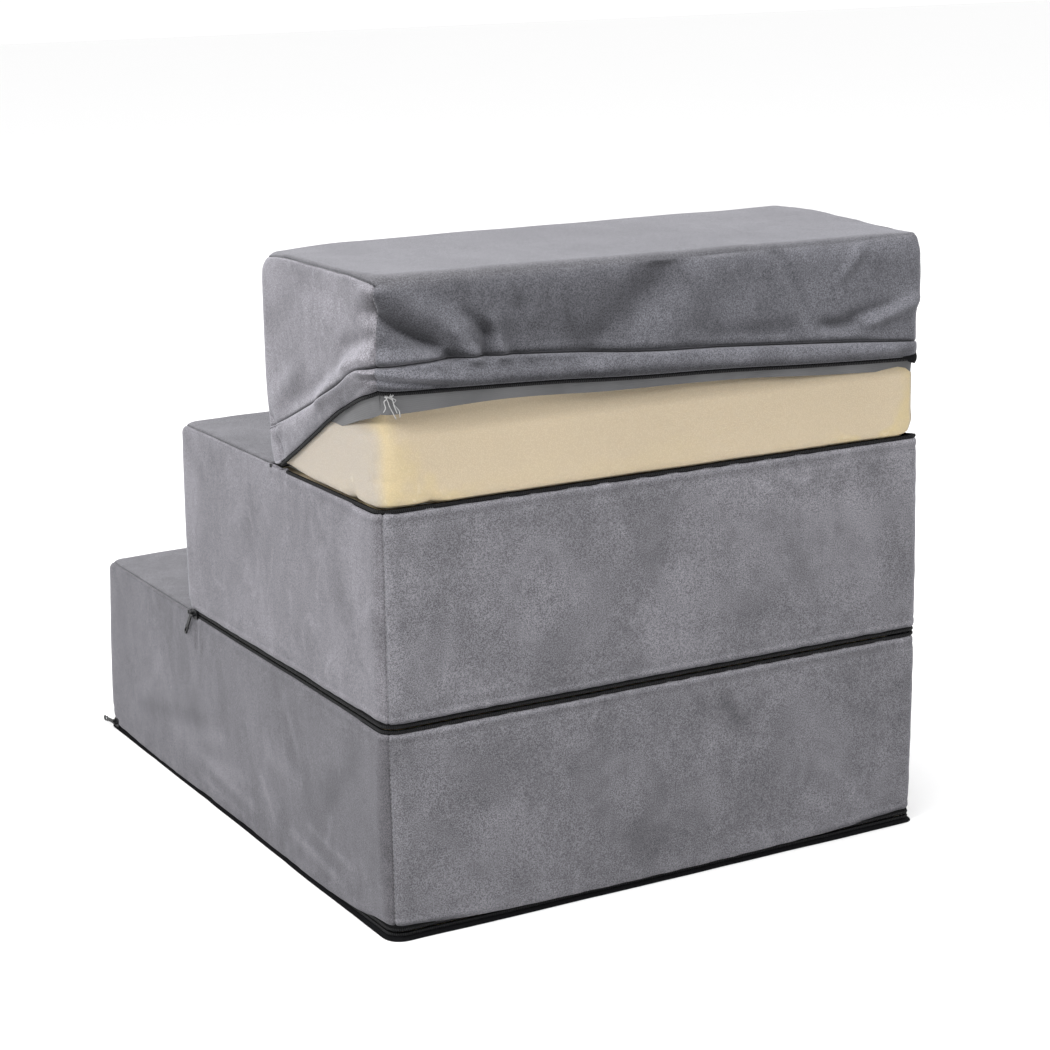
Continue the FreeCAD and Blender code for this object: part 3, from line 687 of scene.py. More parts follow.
def lower_back_panel(tier, cover):
    """The back of a lower tier, between the two rear corner seams."""
    shape = TierShape(tier, cover)
    across = spaced(SIDE, -SIDE, COLUMN_STEP)
    if tier == "bottom":
        low = curve_through(BASE_HEM_BACK, across / MM) * MM
        tucked = repeated(ease((9.2 * MM - low) / (3 * MM)), len(PANEL_ROWS)).ravel()
    else:
        low = np.full(len(across), shape.floor + cover.lips)
        tucked = 0.0
    high = shape.top - cover.lips
    x = repeated(across, len(PANEL_ROWS))
    z = low[:, None] + (high - low)[:, None] * PANEL_ROWS
    raw = on_face("back", x, z)
    to_corner = (SIDE - abs(x)).ravel()
    to_low = (z - low[:, None]).ravel()
    to_high = (high - z).ravel()
    lift = seam_drop(to_corner, cover) + hem_drop(to_high)
    lift += puckers(raw, np.minimum(to_low, to_high), 41) + puckers(raw, to_corner, 43) * 0.7
    lift += (1 - tucked) * hem_drop(to_low) + tucked * 1.0 * MM * bell(to_low, 8 * MM)
    node = f"{tier}_back_panel"
    velvet_panel(f"{tier}_cover_back", shape, raw, lift, x.shape, "back", node)


def lower_step_strip(tier, cover):
    """Riser and tread of a lower tier in one strip."""
    shape = TierShape(tier, cover)
    end = RISER[ABOVE[tier]]
    foot = BASE_ZIP - 3 * MM if tier == "bottom" else shape.floor + STRIP_FOOT
    up = spaced(foot, shape.top, ROW_STEP)
    back = spaced(shape.front, end, ROW_STEP)[1:]
    profile_y = np.concatenate([np.full(len(up), shape.front), back])
    profile_z = np.concatenate([up, np.full(len(back), shape.top)])
    x = repeated(spaced(-SIDE, SIDE, 4 * MM), len(profile_y))
    raw = points_of(x, profile_y, profile_z)
    to_side = (SIDE - abs(x)).ravel()
    to_end = end - raw[:, 1]
    lift = seam_drop(to_side, cover) + 0.8 * seam_drop(to_end, cover)
    lift += seam_drop(raw[:, 2] - foot, cover)
    lift += puckers(raw, to_side, 47) + 0.5 * puckers(raw, to_end, 53)
    velvet_panel(f"{tier}_cover_strip", shape, raw, lift, x.shape, "tread", f"{tier}_step_strip")


def hem_rows(face, place, samples, scale):
    """The lifted hem's section at places along a face: how far out, and how high, row by row."""
    crease, zip_height, _ = hem_heights(face, place)
    anchors = {"crease": crease, "zip": zip_height, "middle": (crease + zip_height) / 2}
    heights = np.stack([anchors[name] + offset * MM for _, name, offset in HEM_SECTION], 1)
    outs = np.array([out for out, _, _ in HEM_SECTION]) * MM
    weights = spline_weights(len(HEM_SECTION), samples)
    return scale[:, None] * (weights @ outs)[None, :], heights @ weights.T


def top_side_panel(hand, cover):
    """A side of the top cover down to its crease, and its rolled hem down to the zip."""
    shape = TierShape("top", cover)
    along = spaced(shape.front, REAR, FINE_STEP)
    strength = 0.25 + 0.75 * ease((along - 118 * MM) / (60 * MM))
    scale = strength * (0.62 + 0.38 * ease((along - 240 * MM) / (39 * MM)))
    if hand == "left":
        scale = scale * (1 - 0.75 * ease((along - 225 * MM) / (45 * MM)))
    outs, heights = (rows[:, ::-1] for rows in hem_rows(hand, along, 44, scale))
    start = heights[:, -1:]
    rows = spaced(0.0, 0.1, 3.4 * MM, fine_start=False)[1:] / 0.1
    z = np.concatenate([heights, start + (shape.top - start) * rows], 1)
    out = np.concatenate([outs, outs[:, -1:] * (1 - rows)], 1)
    y = repeated(along, z.shape[1])
    raw = on_face(hand, y, z)
    to_rear = REAR - raw[:, 1]
    to_top = shape.top - raw[:, 2]
    lift = out.ravel() + seam_drop(to_rear, cover) + seam_drop(raw[:, 1] - shape.front, cover)
    lift += seam_drop(to_top, cover) + puckers(raw, np.minimum(to_top, to_rear), 59)
    name, node = f"top_cover_side_{hand}", f"top_side_panel_{hand}"
    velvet_panel(name, shape, raw, lift, y.shape, "side", node, hand == "left")


def top_strip(cover):
    """Riser, top and back of the top cover in one strip, with the back's rolled hem."""
    shape = TierShape("top", cover)
    foot = shape.floor + STRIP_FOOT
    across = spaced(-SIDE, SIDE, FINE_STEP)
    up = spaced(foot, shape.top, ROW_STEP)
    over = spaced(shape.front, REAR, ROW_STEP)[1:]
    outs, heights = hem_rows("back", across, 52, 1 - 0.75 * ease(-(across + 188 * MM) / (28 * MM)))
    down = spaced(0.0, 0.06, FINE_STEP, fine_end=False)[1:-1] / 0.06
    down_heights = shape.top + (heights[:, :1] - shape.top) * down
    back = np.full(len(down) + outs.shape[1], REAR)
    profile_y = np.concatenate([np.full(len(up), shape.front), over, back])
    profile_z = np.concatenate([up, np.full(len(over), shape.top)])
    count = len(across)
    z = np.concatenate([np.tile(profile_z, (count, 1)), down_heights, heights], 1)
    out = np.concatenate([np.zeros((count, len(profile_z))), outs[:, :1] * down, outs], 1)
    x = repeated(across, z.shape[1])
    raw = points_of(x, profile_y, z)
    to_side = (SIDE - abs(x)).ravel()
    lift = out.ravel() + seam_drop(to_side, cover) + puckers(raw, to_side, 61)
    lift += np.where(raw[:, 1] < shape.front + MM, seam_drop(raw[:, 2] - foot, cover), 0)
    velvet_panel("top_cover_strip", shape, raw, lift, x.shape, "top", "top_step_strip")


def hem_facing(face, cover):
    """The wrong side of the velvet that shows below the lifted zip."""
    shape = TierShape("top", cover)
    along = spaced(SIDE, -SIDE, 3 * MM) if face == "back" else spaced(176 * MM, REAR, 3 * MM)
    _, zip_height, edge = hem_heights(face, along)
    top = zip_height + 6 * MM
    edge = np.minimum(edge + 0.25 * MM * np.sin(along / (17 * MM)), zip_height + 1 * MM)
    rows = np.linspace(0, 1, 16)
    z = edge[:, None] + (top - edge)[:, None] * rows
    away = repeated(along, len(rows))
    out = -2.75 * MM + 1.2 * MM * ease((rows - 0.2) / 0.8)
    out = out + 0.35 * MM * np.sin(away / (23 * MM) + 3 * rows)
    points, _ = shape.place(on_face(face, away, z), out.ravel())
    points = points.reshape(*away.shape, 3)
    piece = lay_sheet(f"top_hem_facing_{face}", points[::-1] if face == "left" else points)
    thicken(piece, 0.8 * MM)
    finish_piece(piece, "top", knit(cover))


# ---------------------------------------------------------------- zips


def round_the_tier(shape, start, step, height, lift):
    """Points from the right front, round the back, to the left front, and which way they face."""
    side = np.arange(start, REAR, step)
    faces = (("right", side), ("back", np.arange(SIDE, -SIDE, -step)), ("left", side[::-1]))
    raws = [on_face(face, places, height(face, places)) for face, places in faces]
    lifts = [lift(face, places) for face, places in faces]
    return shape.place(np.concatenate(raws), np.concatenate(lifts))


def even_steps(points, normals, pitch):
    """The same line with its points a pitch apart, with tangents and outward directions."""
    gaps = np.linalg.norm(np.diff(points, axis=0), axis=1)
    reach = np.concatenate([[0], np.cumsum(gaps)])
    at = np.arange(pitch / 2, reach[-1], pitch)
    places = np.stack([np.interp(at, reach, points[:, k]) for k in range(3)], 1)
    outward = np.stack([np.interp(at, reach, normals[:, k]) for k in range(3)], 1)
    tangent = np.gradient(places, axis=0)
    tangent /= np.linalg.norm(tangent, axis=1)[:, None]
    outward -= tangent * np.sum(outward * tangent, 1)[:, None]
    outward /= np.linalg.norm(outward, axis=1)[:, None]
    return places, tangent, outward


def copies_along(name, unit, places, tangent, outward):
    """One mesh that holds a copy of the unit piece at every place; the unit is removed."""
    corners = np.array([vertex.co for vertex in unit.data.vertices])
    faces = [list(polygon.vertices) for polygon in unit.data.polygons]
    upward = np.cross(outward, tangent) * -1
    turned = (
        corners[None, :, 0:1] * tangent[:, None, :]
        + corners[None, :, 1:2] * outward[:, None, :]
        + corners[None, :, 2:3] * upward[:, None, :]
    )
    points = (places[:, None, :] + turned).reshape(-1, 3)
    count = len(corners)
    every = [[index + copy * count for index in face] for copy in range(len(places)) for face in faces]
    mesh = bpy.data.meshes.new(name)
    mesh.from_pydata(points.tolist(), [], every)
    piece = bpy.data.objects.new(name, mesh)
    bpy.context.scene.collection.objects.link(piece)
    bpy.data.objects.remove(unit)
    make_active(piece)
    bpy.ops.object.mode_set(mode="EDIT")
    bpy.ops.mesh.select_all(action="SELECT")
    bpy.ops.mesh.normals_make_consistent(inside=False)
    bpy.ops.object.mode_set(mode="OBJECT")
    bpy.ops.object.shade_smooth()
    return piece


def bead(size, segments, rings):
    """A small sphere stretched to a size."""
    deselect()
    bpy.ops.mesh.primitive_uv_sphere_add(segments=segments, ring_count=rings, radius=0.5)
    apply_scale(bpy.context.object, size)
    return bpy.context.object


def coil_loop(zips):
    """One loop of the nylon coil: along the zip, out of it and across it, slanted a little."""
    loop = bead((zips.pitch * 0.98, zips.coil_depth, zips.coil_far - zips.coil_near), 8, 5)
    for vertex in loop.data.vertices:
        vertex.co.x += vertex.co.z * 0.16
    return loop


# Places in mm across a zip's tape, from the zip's middle, closer together at its stitched ridge.
TAPE_ROWS = (0.6, 1.6, 2.6, 3.3, 4.0, 4.6, 6)


def zip_half(node, shape, start, height, lift, zips, tape_width=None, flare=0.0):
    """Half a zip: its coil and its woven tape behind it."""
    direction = 1 if node.endswith("upper") else -1

    def line(step, offset, out):
        def at_height(face, places):
            return height(face, places) + direction * offset

        def standing_out(face, places):
            return lift(face, places) + out

        return round_the_tier(shape, start, step, at_height, standing_out)

    points, normals = line(2 * MM, (zips.coil_near + zips.coil_far) / 2, -zips.coil_depth / 2)
    coil = copies_along(f"{node}_coil", coil_loop(zips), *even_steps(points, normals, zips.pitch))
    finish_piece(coil, shape.tier, nylon(zips), [node])

    width = tape_width or zips.tape_width
    offsets = np.array(TAPE_ROWS) * MM
    rows = []
    for offset in np.append(offsets[offsets < width - 0.2 * MM], width):
        ridge = 0.5 * MM * bell(offset - 3.5 * MM, 0.6 * MM)
        flared = flare * ease((offset - 3 * MM) / (2 * MM))
        rows.append(line(3 * MM, offset, -1.55 * MM + ridge + flared)[0])
    tape = lay_sheet(f"{node}_tape", np.stack(rows, 1)[::-1])
    thicken(tape, 0.55 * MM)
    finish_piece(tape, shape.tier, tape_weave(zips))


def sew(name, shape, lines, pitch, size, material):
    """Pointed beads of thread along a tier's lines, each given by its points and their stand-off."""
    runs = [even_steps(*shape.place(raw, lift), pitch) for raw, lift in lines]
    places, tangent, outward = (np.concatenate(parts) for parts in zip(*runs))
    piece = copies_along(name, bead(size, 6, 4), places, tangent, outward)
    finish_piece(piece, shape.tier, material())


def seam_stitches(tier, cover):
    """Stitches in the grooves of a tier's upright rear seams and along its tread's edges."""
    shape = TierShape(tier, cover)
    low = {"bottom": 13 * MM, "middle": shape.floor + 6 * MM, "top": 398 * MM}[tier]
    end = REAR - 4 * MM if tier == "top" else RISER[ABOVE[tier]] - 2 * MM
    up = np.arange(low, shape.top - 6 * MM, 2 * MM)
    back = np.arange(shape.front + 4 * MM, end, 2 * MM)
    lines = []
    for hand in HANDS:
        for raw in (on_face(hand, REAR, up), on_face(hand, back, shape.top)):
            lines.append((raw, 0.05 * MM - cover.seam_depth))
    size = (2.3 * MM, 0.5 * MM, 0.6 * MM)
    sew(f"{tier}_seam_stitches", shape, lines, 3.4 * MM, size, lambda: thread(cover))


# Loose threads at the hem's right rear corner, in mm: place from the side, height and stand-off.
FRAYS = (
    ((9, 376, 1.0), (8, 373, 2.0), (6, 371, 1.2), (7, 367, 1.6), (5, 364, 0.6)),
    ((8, 375, 1.2), (12, 372, 1.8), (13, 369, 0.8), (16, 365, 1.4), (17, 361, 0.8)),
    ((10, 376, 0.8), (11, 374, 2.4), (14, 372, 1.6), (13, 370, 0.6)),
    ((7, 375, 1.6), (9, 371, 1.0), (10, 368, 1.8), (12, 364, 1.0), (14, 360, 0.8)),
    ((13, 376, 0.8), (12, 375, 2.2), (9, 374, 2.8), (7, 374, 1.4)),
    ((11, 376, 1.4), (12, 372, 2.4), (13, 368, 1.8), (15, 363, 1.2)),
)


def frayed_corner(cover):
    """White threads that have worked loose where the hem's corner seam ends."""
    lines = []
    for knots in FRAYS:
        inwards, up, out = (spline_weights(len(knots), 24) @ np.array(knots, float) * MM).T
        lines.append((on_face("back", SIDE - inwards, up), out - 1.2 * MM))
    size = (1.9 * MM, 0.75 * MM, 0.75 * MM)
    sew("top_hem_loose_threads", TierShape("top", cover), lines, 0.9 * MM, size, white_thread)


def left_end_tape(cover, zips):
    """The folded end of black tape at the hem's left rear corner."""
    across = np.linspace(-202 * MM, -SIDE, 12)
    along = np.linspace(REAR, REAR - 8 * MM, 7)[1:]
    rows = np.linspace(0, 1, 8)
    x = repeated(np.concatenate([across, np.full(len(along), -SIDE)]), len(rows))
    y = repeated(np.concatenate([np.full(len(across), REAR), along]), len(rows))
    reach = np.linspace(0, 1, len(x))[:, None]
    bottom = (357 - 5 * np.sin(reach * math.pi * 0.75)) * MM
    top = (359.5 + 1.5 * np.sin(reach * math.pi * 0.6)) * MM
    out = 1.3 * MM * np.sin(math.pi * rows) * np.ones(x.shape) + 0.2 * MM
    raw = points_of(x, y, bottom + (top - bottom) * rows)
    points, _ = TierShape("top", cover).place(raw, out.ravel())
    piece = lay_sheet("top_hem_left_tape", points.reshape(*x.shape, 3))
    thicken(piece, 0.6 * MM)
    finish_piece(piece, "top", tape_weave(zips))


# ---------------------------------------------------------------- materials


class Paint:
    """Builds one material's nodes on its own Object coordinates."""

    SOCKETS = {
        "colour": "Base Color",
        "rough": "Roughness",
        "shine": "Specular IOR Level",
        "metal": "Metallic",
        "sheen": "Sheen Weight",
        "sheen_rough": "Sheen Roughness",
        "sheen_tint": "Sheen Tint",
        "scatter": "Subsurface Weight",
        "scatter_reach": "Subsurface Radius",
        "scatter_scale": "Subsurface Scale",
    }

    def __init__(self, name):
        self.material = bpy.data.materials.new(name)
        self.material.use_nodes = True
        self.tree = self.material.node_tree
        self.shader = self.tree.nodes["Principled BSDF"]
        self.where = self.add("ShaderNodeTexCoord").outputs["Object"]

    def add(self, kind, inputs=None, **settings):
        """A new node with its settings, and its inputs' values or links."""
        node = self.tree.nodes.new(kind)
        for name, value in settings.items():
            setattr(node, name, value)
        for socket, value in (inputs or {}).items():
            self.feed(node.inputs[socket], value)
        return node

    def feed(self, socket, value):
        if isinstance(value, bpy.types.NodeSocket):
            self.tree.links.new(value, socket)
        elif socket.type == "RGBA":
            socket.default_value = (*value, 1.0)
        else:
            socket.default_value = value

    def stretched(self, scale, turn=(0, 0, 0)):
        inputs = {"Vector": self.where, "Scale": scale, "Rotation": turn}
        return self.add("ShaderNodeMapping", inputs).outputs["Vector"]

    def noise(self, scale, detail=3.0, roughness=0.5, distortion=0.0, vector=None):
        inputs = {"Vector": vector or self.where, "Scale": scale, "Detail": detail}
        inputs.update({"Roughness": roughness, "Distortion": distortion})
        return self.add("ShaderNodeTexNoise", inputs).outputs["Fac"]

    def cells(self, scale, vector=None):
        inputs = {"Vector": vector or self.where, "Scale": scale}
        return self.add("ShaderNodeTexVoronoi", inputs).outputs["Distance"]

    def spread(self, value, low, high, start=0.0, end=1.0):
        inputs = {"Value": value, "From Min": low, "From Max": high, "To Min": start, "To Max": end}
        return self.add("ShaderNodeMapRange", inputs, interpolation_type="SMOOTHSTEP").outputs["Result"]

    def sum(self, first, second, operation="ADD"):
        return self.add("ShaderNodeMath", {0: first, 1: second}, operation=operation).outputs["Value"]

    def times(self, first, second):
        return self.sum(first, second, "MULTIPLY")

    def blend(self, share, first, second, kind="MIX"):
        inputs = {"Factor": share, 6: first, 7: second}
        return self.add("ShaderNodeMix", inputs, data_type="RGBA", blend_type=kind).outputs[2]

    def grey(self, value):
        return self.add("ShaderNodeCombineColor", dict.fromkeys(range(3), value)).outputs["Color"]

    def coordinate(self, axis):
        return self.add("ShaderNodeSeparateXYZ", {0: self.where}).outputs[axis]

    def bumps(self, *layers):
        """Bumps over one another, each given by its height, distance and strength."""
        below = {}
        for height, distance, strength in layers:
            inputs = {"Height": height, "Distance": distance, "Strength": strength, **below}
            below = {"Normal": self.add("ShaderNodeBump", inputs).outputs["Normal"]}
        self.feed(self.shader.inputs["Normal"], below["Normal"])

    def set(self, **values):
        for name, value in values.items():
            self.feed(self.shader.inputs[self.SOCKETS[name]], value)


def shaded(tone, factor):
    return tuple(min(1.0, channel * factor) for channel in tone)


# How strongly brushed strokes show on each face.
STROKES = {"side": 0.36, "back": 0.08, "top": 0.1, "tread": 0.12}
# The colour of each panel, and how much of its brightness the panel has.
TONES = {
    ("side", "bottom"): ("side_tone", 0.48),
    ("side", "middle"): ("side_tone", 0.8),
    ("side", "top"): ("side_tone", 0.93),
    ("back", "bottom"): ("back_tone", 0.82),
    ("back", "middle"): ("back_tone", 0.98),
    ("tread", "bottom"): ("tread_tone", 0.69),
    ("tread", "middle"): ("tread_tone", 0.71),
    ("top", "top"): ("top_tone", 0.82),
}

# Of the nap's marks and streaks, the distortion, stretch and turn, and then the grain's contrast.
SIDE_NAP = ((0.6, (10, 10, 7), (0, 0, 0)), (0.7, (30, 30, 17), (0.35, 0.2, 0.1)), 0.38)

OTHER_NAP = ((0.8, (8, 8, 9), (0.2, 0.5, 0)), (1.0, (30, 24, 20), (0.3, 0.6, 0.2)), 0.42)
TOP_FACE = (0.440, 0.452)  # heights between which the look of the back turns into the top's


def velvet(cover, face, tier):
    """Short-pile velvet whose nap is lighter and darker in stroked patches, with painted light and shade
    and the hand marks from each panel's pile attribute multiplied in.
    """
    tone_name, factor = TONES[face, tier]
    tone = shaded(getattr(cover, tone_name), factor)
    marks_way, streaks_way, contrast = SIDE_NAP if face == "side" else OTHER_NAP
    paint = Paint(f"velvet_{face}_{tier}")
    marks = paint.noise(1.0, 3, 0.55, marks_way[0], paint.stretched(*marks_way[1:]))
    streaks = paint.noise(1.0, 4, 0.6, streaks_way[0], paint.stretched(*streaks_way[1:]))
    small = paint.noise(130, 2, 0.5, 0.5)
    mixed = paint.sum(paint.sum(marks, streaks), paint.times(small, 0.5))
    strokes = paint.noise(1.0, 5, 0.7, 2.2, paint.stretched((26, 26, 16), (0.4, 0.1, 0.3)))
    strokes = paint.spread(strokes, 0.52, 0.66)
    mixed = paint.sum(mixed, paint.times(strokes, STROKES[face]))
    patches = paint.spread(mixed, 0.95, 1.55)
    nap = paint.blend(patches, shaded(tone, 0.84), shaded(tone, 1.16))
    if face == "top":
        over = paint.spread(paint.coordinate("Z"), *TOP_FACE)
        lit = shaded(cover.tread_tone, 0.66)
        top_nap = paint.blend(patches, shaded(lit, 0.92), shaded(lit, 1.12))
        nap = paint.blend(over, nap, top_nap)
    grain = paint.noise(1000, 2, 0.7)
    fine = paint.noise(2200, 1, 0.5)
    speckle = paint.grey(paint.spread(paint.sum(grain, fine), 0.8, 1.2, 1 - contrast, 1 + contrast))
    # Painted light and shade from the pile attribute: lighter where the cloth tips upward, darker in
    # grooves, creases and fold valleys, together with the hand marks.
    pile_light_and_marks = paint.add("ShaderNodeAttribute", attribute_name="pile").outputs["Fac"]
    marks_and_painted_light = paint.blend(paint.spread(pile_light_and_marks, -0.6, 0.6), (0.4, 0.4, 0.4), (1.6, 1.6, 1.6))
    nap = paint.blend(1.0, nap, speckle, "MULTIPLY")
    nap = paint.blend(1.0, nap, marks_and_painted_light, "MULTIPLY")
    paint.set(colour=nap, rough=0.92, shine=0.12, sheen=0.35, sheen_rough=0.42)
    paint.set(sheen_tint=(0.92, 0.92, 1.0))
    paint.bumps((streaks, 1.2 * MM, 0.22), (grain, 0.35 * MM, 0.5), (fine, 0.15 * MM, 0.4))
    return paint.material


def knit(cover):
    """The velvet's wrong side: a fine, flat knit."""
    paint = Paint("velvet_reverse")
    tone = cover.reverse_tone
    marks = paint.noise(30, 3)
    inputs = {"Vector": paint.where, "Scale": 240, "Distortion": 1.5}
    wave = paint.add("ShaderNodeTexWave", inputs, wave_type="BANDS", bands_direction="Z").outputs["Fac"]
    nap = paint.blend(paint.spread(marks, 0.3, 0.7), shaded(tone, 0.88), shaded(tone, 1.1))
    paint.set(colour=nap, rough=0.9, shine=0.15, sheen=0.1, sheen_rough=0.5)
    paint.bumps((wave, 0.2 * MM, 0.35), (paint.noise(900, 2), 0.15 * MM, 0.4))
    return paint.material


def foam_look(foam):
    """Open-cell foam, paler where it is freshly cut, yellowed along its edges, and painted darker and
    greyer on its bare sides for the shade of the cover's edge.
    """
    paint = Paint("open_cell_foam")
    x, y, z = (paint.coordinate(axis) for axis in "XYZ")
    from_side = paint.sum(SIDE, paint.sum(x, 0.0, "ABSOLUTE"), "SUBTRACT")
    from_rear = paint.sum(REAR, y, "SUBTRACT")
    wander = paint.spread(paint.noise(26, 3, 0.6), 0.25, 0.75, -14 * MM, 14 * MM)
    corner = paint.sum(paint.sum(from_side, from_rear, "MAXIMUM"), wander)
    corner = paint.spread(corner, 9 * MM, 30 * MM, 1.0, 0.0)
    low = paint.spread(paint.sum(paint.sum(z, -TOP["middle"]), wander), 2 * MM, 16 * MM, 0.7, 0.0)
    beside = paint.sum(paint.sum(from_side, from_rear, "MAXIMUM"), -50 * MM)
    beside = paint.spread(beside, 0.0, 30 * MM, 1.0, 0.12)
    edges = paint.sum(paint.times(corner, 0.7), paint.times(low, beside), "MAXIMUM")
    nap = paint.blend(edges, foam.fresh, foam.aged)
    warm = paint.spread(paint.noise(9, 2), 0.35, 0.65)
    nap = paint.blend(warm, nap, paint.blend(0.5, nap, shaded(foam.fresh, 1.06)))
    # painted shade: the bare sides take a darker, greyer colour for the shade that the cover's edge
    # casts
    shaded_side_mask = paint.spread(from_side, 9 * MM, 1.5 * MM, 0.0, 0.85)
    nap = paint.blend(shaded_side_mask, nap, foam.side)
    torn = paint.spread(paint.noise(70, 3, 0.65), 0.6, 0.66)
    torn = paint.times(paint.times(torn, 0.35), paint.times(low, beside))
    nap = paint.blend(torn, nap, foam.pale)
    pores = paint.spread(paint.cells(1000), 0.15, 0.6, 1.03, 0.93)
    spots = paint.spread(paint.noise(420, 3, 0.7), 0.64, 0.74, 1.0, 0.93)
    dimples = paint.grey(paint.times(pores, spots))
    paint.set(colour=paint.blend(1.0, nap, dimples, "MULTIPLY"), rough=0.95, shine=0.1)
    paint.set(scatter=0.15, scatter_reach=(3 * MM, 2 * MM, 1.2 * MM), scatter_scale=1.0)
    paint.bumps((paint.noise(40, 3), 1.0 * MM, 0.25), (paint.cells(1000), 0.25 * MM, 0.5))
    return paint.material


def thread(cover):
    """Grey sewing thread."""
    paint = Paint("seam_thread")
    tone = cover.thread_tone
    nap = paint.blend(paint.noise(300, 2), shaded(tone, 0.7), shaded(tone, 1.2))
    paint.set(colour=nap, rough=0.7, shine=0.2)
    return paint.material


def white_thread():
    """Loose white thread."""
    paint = Paint("loose_thread")
    nap = paint.blend(paint.noise(260, 2), (0.2, 0.2, 0.2), (0.46, 0.46, 0.46))
    paint.set(colour=nap, rough=0.8, shine=0.2)
    return paint.material


def nylon(zips):
    """Black nylon monofilament."""
    paint = Paint("zip_nylon")
    nap = paint.blend(paint.noise(90, 2), zips.nylon, shaded(zips.nylon, 2.2))
    paint.set(colour=nap, shine=0.22)
    paint.set(rough=paint.spread(paint.noise(400, 2), 0.3, 0.7, 0.32, 0.5))
    return paint.material


def tape_weave(zips):
    """Black woven zip tape."""
    paint = Paint("zip_tape")
    weave = paint.cells(900, paint.stretched((1, 1, 1.6)))
    nap = paint.blend(paint.spread(weave, 0.1, 0.6), shaded(zips.nylon, 2.2), zips.nylon)
    paint.set(colour=nap, rough=0.85, shine=0.08)
    paint.bumps((weave, 0.2 * MM, 0.7))
    return paint.material


def enamel(zips):
    """Black enamel, a little dull, with faint wear."""
    paint = Paint("black_enamel")
    wear = paint.spread(paint.noise(500, 3, 0.6), 0.6, 0.75)
    paint.set(colour=paint.blend(wear, zips.enamel, shaded(zips.enamel, 2.0)), metal=0.0, shine=0.22)
    paint.set(rough=paint.spread(paint.noise(260, 3), 0.3, 0.7, 0.42, 0.56))
    paint.bumps((paint.noise(700, 2), 0.05 * MM, 0.3))
    return paint.material


def white_web():
    """Thin white non-woven cloth with its embossed points."""
    paint = Paint("white_web")
    points = paint.cells(420)
    fibres = paint.noise(500, 4, 0.7)
    nap = paint.blend(paint.spread(fibres, 0.3, 0.7), (0.5, 0.5, 0.49), (0.64, 0.64, 0.63))
    paint.set(colour=nap, rough=0.85)
    paint.bumps((points, 0.3 * MM, 0.6), (fibres, 0.1 * MM, 0.5))
    return paint.material


def black_cloth(name, scale=700):
    """Black woven cloth."""
    paint = Paint(name)
    weave = paint.cells(scale)
    nap = paint.blend(paint.spread(weave, 0.1, 0.6), (0.03, 0.03, 0.033), (0.012, 0.012, 0.013))
    paint.set(colour=nap)
    paint.set(rough=0.9, shine=0.2, sheen=0.15, sheen_rough=0.4)
    paint.bumps((weave, 0.25 * MM, 0.7))
    return paint.material


def paper_floor(stage):
    """Plain pale paper."""
    paint = Paint("studio_paper")
    nap = paint.blend(paint.noise(3, 2), shaded(stage.paper, 0.995), stage.paper)
    paint.set(colour=nap, rough=0.95, shine=0.05)
    return paint.material


# ---------------------------------------------------------------- foam, liners and base


LINER_ROOM = 1.6 * MM  # how far a lower tier's foam stays below its box, for the liner on it


def foam_piece(tier, foam):
    """A foam block with soft cut edges."""
    low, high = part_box(f"{tier}_foam_block")
    middle = (low + high) / 2
    deselect()
    bpy.ops.mesh.primitive_cube_add(size=1, location=middle)
    piece = bpy.context.object
    piece.name = piece.data.name = f"{tier}_foam"
    apply_scale(piece, high - low, location=True)
    bpy.ops.object.mode_set(mode="EDIT")
    bpy.ops.mesh.select_all(action="SELECT")
    bpy.ops.mesh.subdivide(number_cuts=70 if tier == "top" else 24)
    bpy.ops.object.mode_set(mode="OBJECT")
    raw = np.array([vertex.co for vertex in piece.data.vertices])
    box_low, box_high = np.array(low), np.array(high)
    if tier != "top":
        box_high[2] -= LINER_ROOM
    radii = np.full((len(raw), 3), foam.edge)
    radii[:, 2] = np.where(raw[:, 2] < middle.z, foam.low_edge, foam.edge)
    inner = np.clip(raw, box_low + radii, box_high - radii)
    out = (raw - inner) / radii
    out /= np.linalg.norm(out, axis=1)[:, None]
    lift = 0.5 * MM * waves(raw, 71, 120 * MM, 25 * MM)
    if tier == "top":
        lift += foam_swell(raw)
    points = inner + out * radii + out * lift[:, None]
    if tier == "top":
        points[:, 2] += np.minimum(0, top_sag(*(raw.T / MM)))
    piece.data.vertices.foreach_set("co", points.ravel())
    piece.data.update()
    make_active(piece)
    bpy.ops.object.shade_smooth()
    finish_piece(piece, tier, foam_look(foam), [f"{tier}_foam_block"])


# Torn chips low on the foam's right rear corner, in mm: place from the corner, height, width and depth.
FOAM_CHIPS = (
    ((14, 318), 4.0, 1.6),
    ((18, 306), 4.0, 1.8),
    ((44, 304), 6.0, 2.4),
    ((52, 306), 4.0, -1.4),
    ((12, 330), 3.0, 0.9),
)


def foam_swell(raw):
    """The bare foam stands out a little below the lifted hem, most of all at the left rear corner."""
    x, y, z = raw.T / MM
    bare = ease((360 - z) / 16)
    rear = ease((y - 120) / 60)
    left = ease((-x - 170) / 40) * ease((z - 300) / 14)
    low = ease((320 - z) / 16)
    squeezed = 6.5 * (1 - bare) * ease((470 - z) / 20)
    chips = np.zeros(len(raw))
    for (where, up), width, depth in FOAM_CHIPS:
        spread = np.hypot(SIDE / MM - x + REAR / MM - y - where, (z - up) * 1.3)
        chips += depth * bell(spread, width) * (x > 0)
    slider_room = 1 - ease((-x - 200) / 10) * ease((306 - z) / 4) * ease((268 - y) / 8)
    swell = bare * rear * (2.4 + 1.3 * low + 3.4 * left) * slider_room - 2.5 * (1 - slider_room)
    return (swell - squeezed - chips) * MM


LINER_TUCK = 5 * MM  # how far the liner's edge is drawn in under the foam


def base_weave():
    """The base's own black cloth."""
    return black_cloth("base_weave")


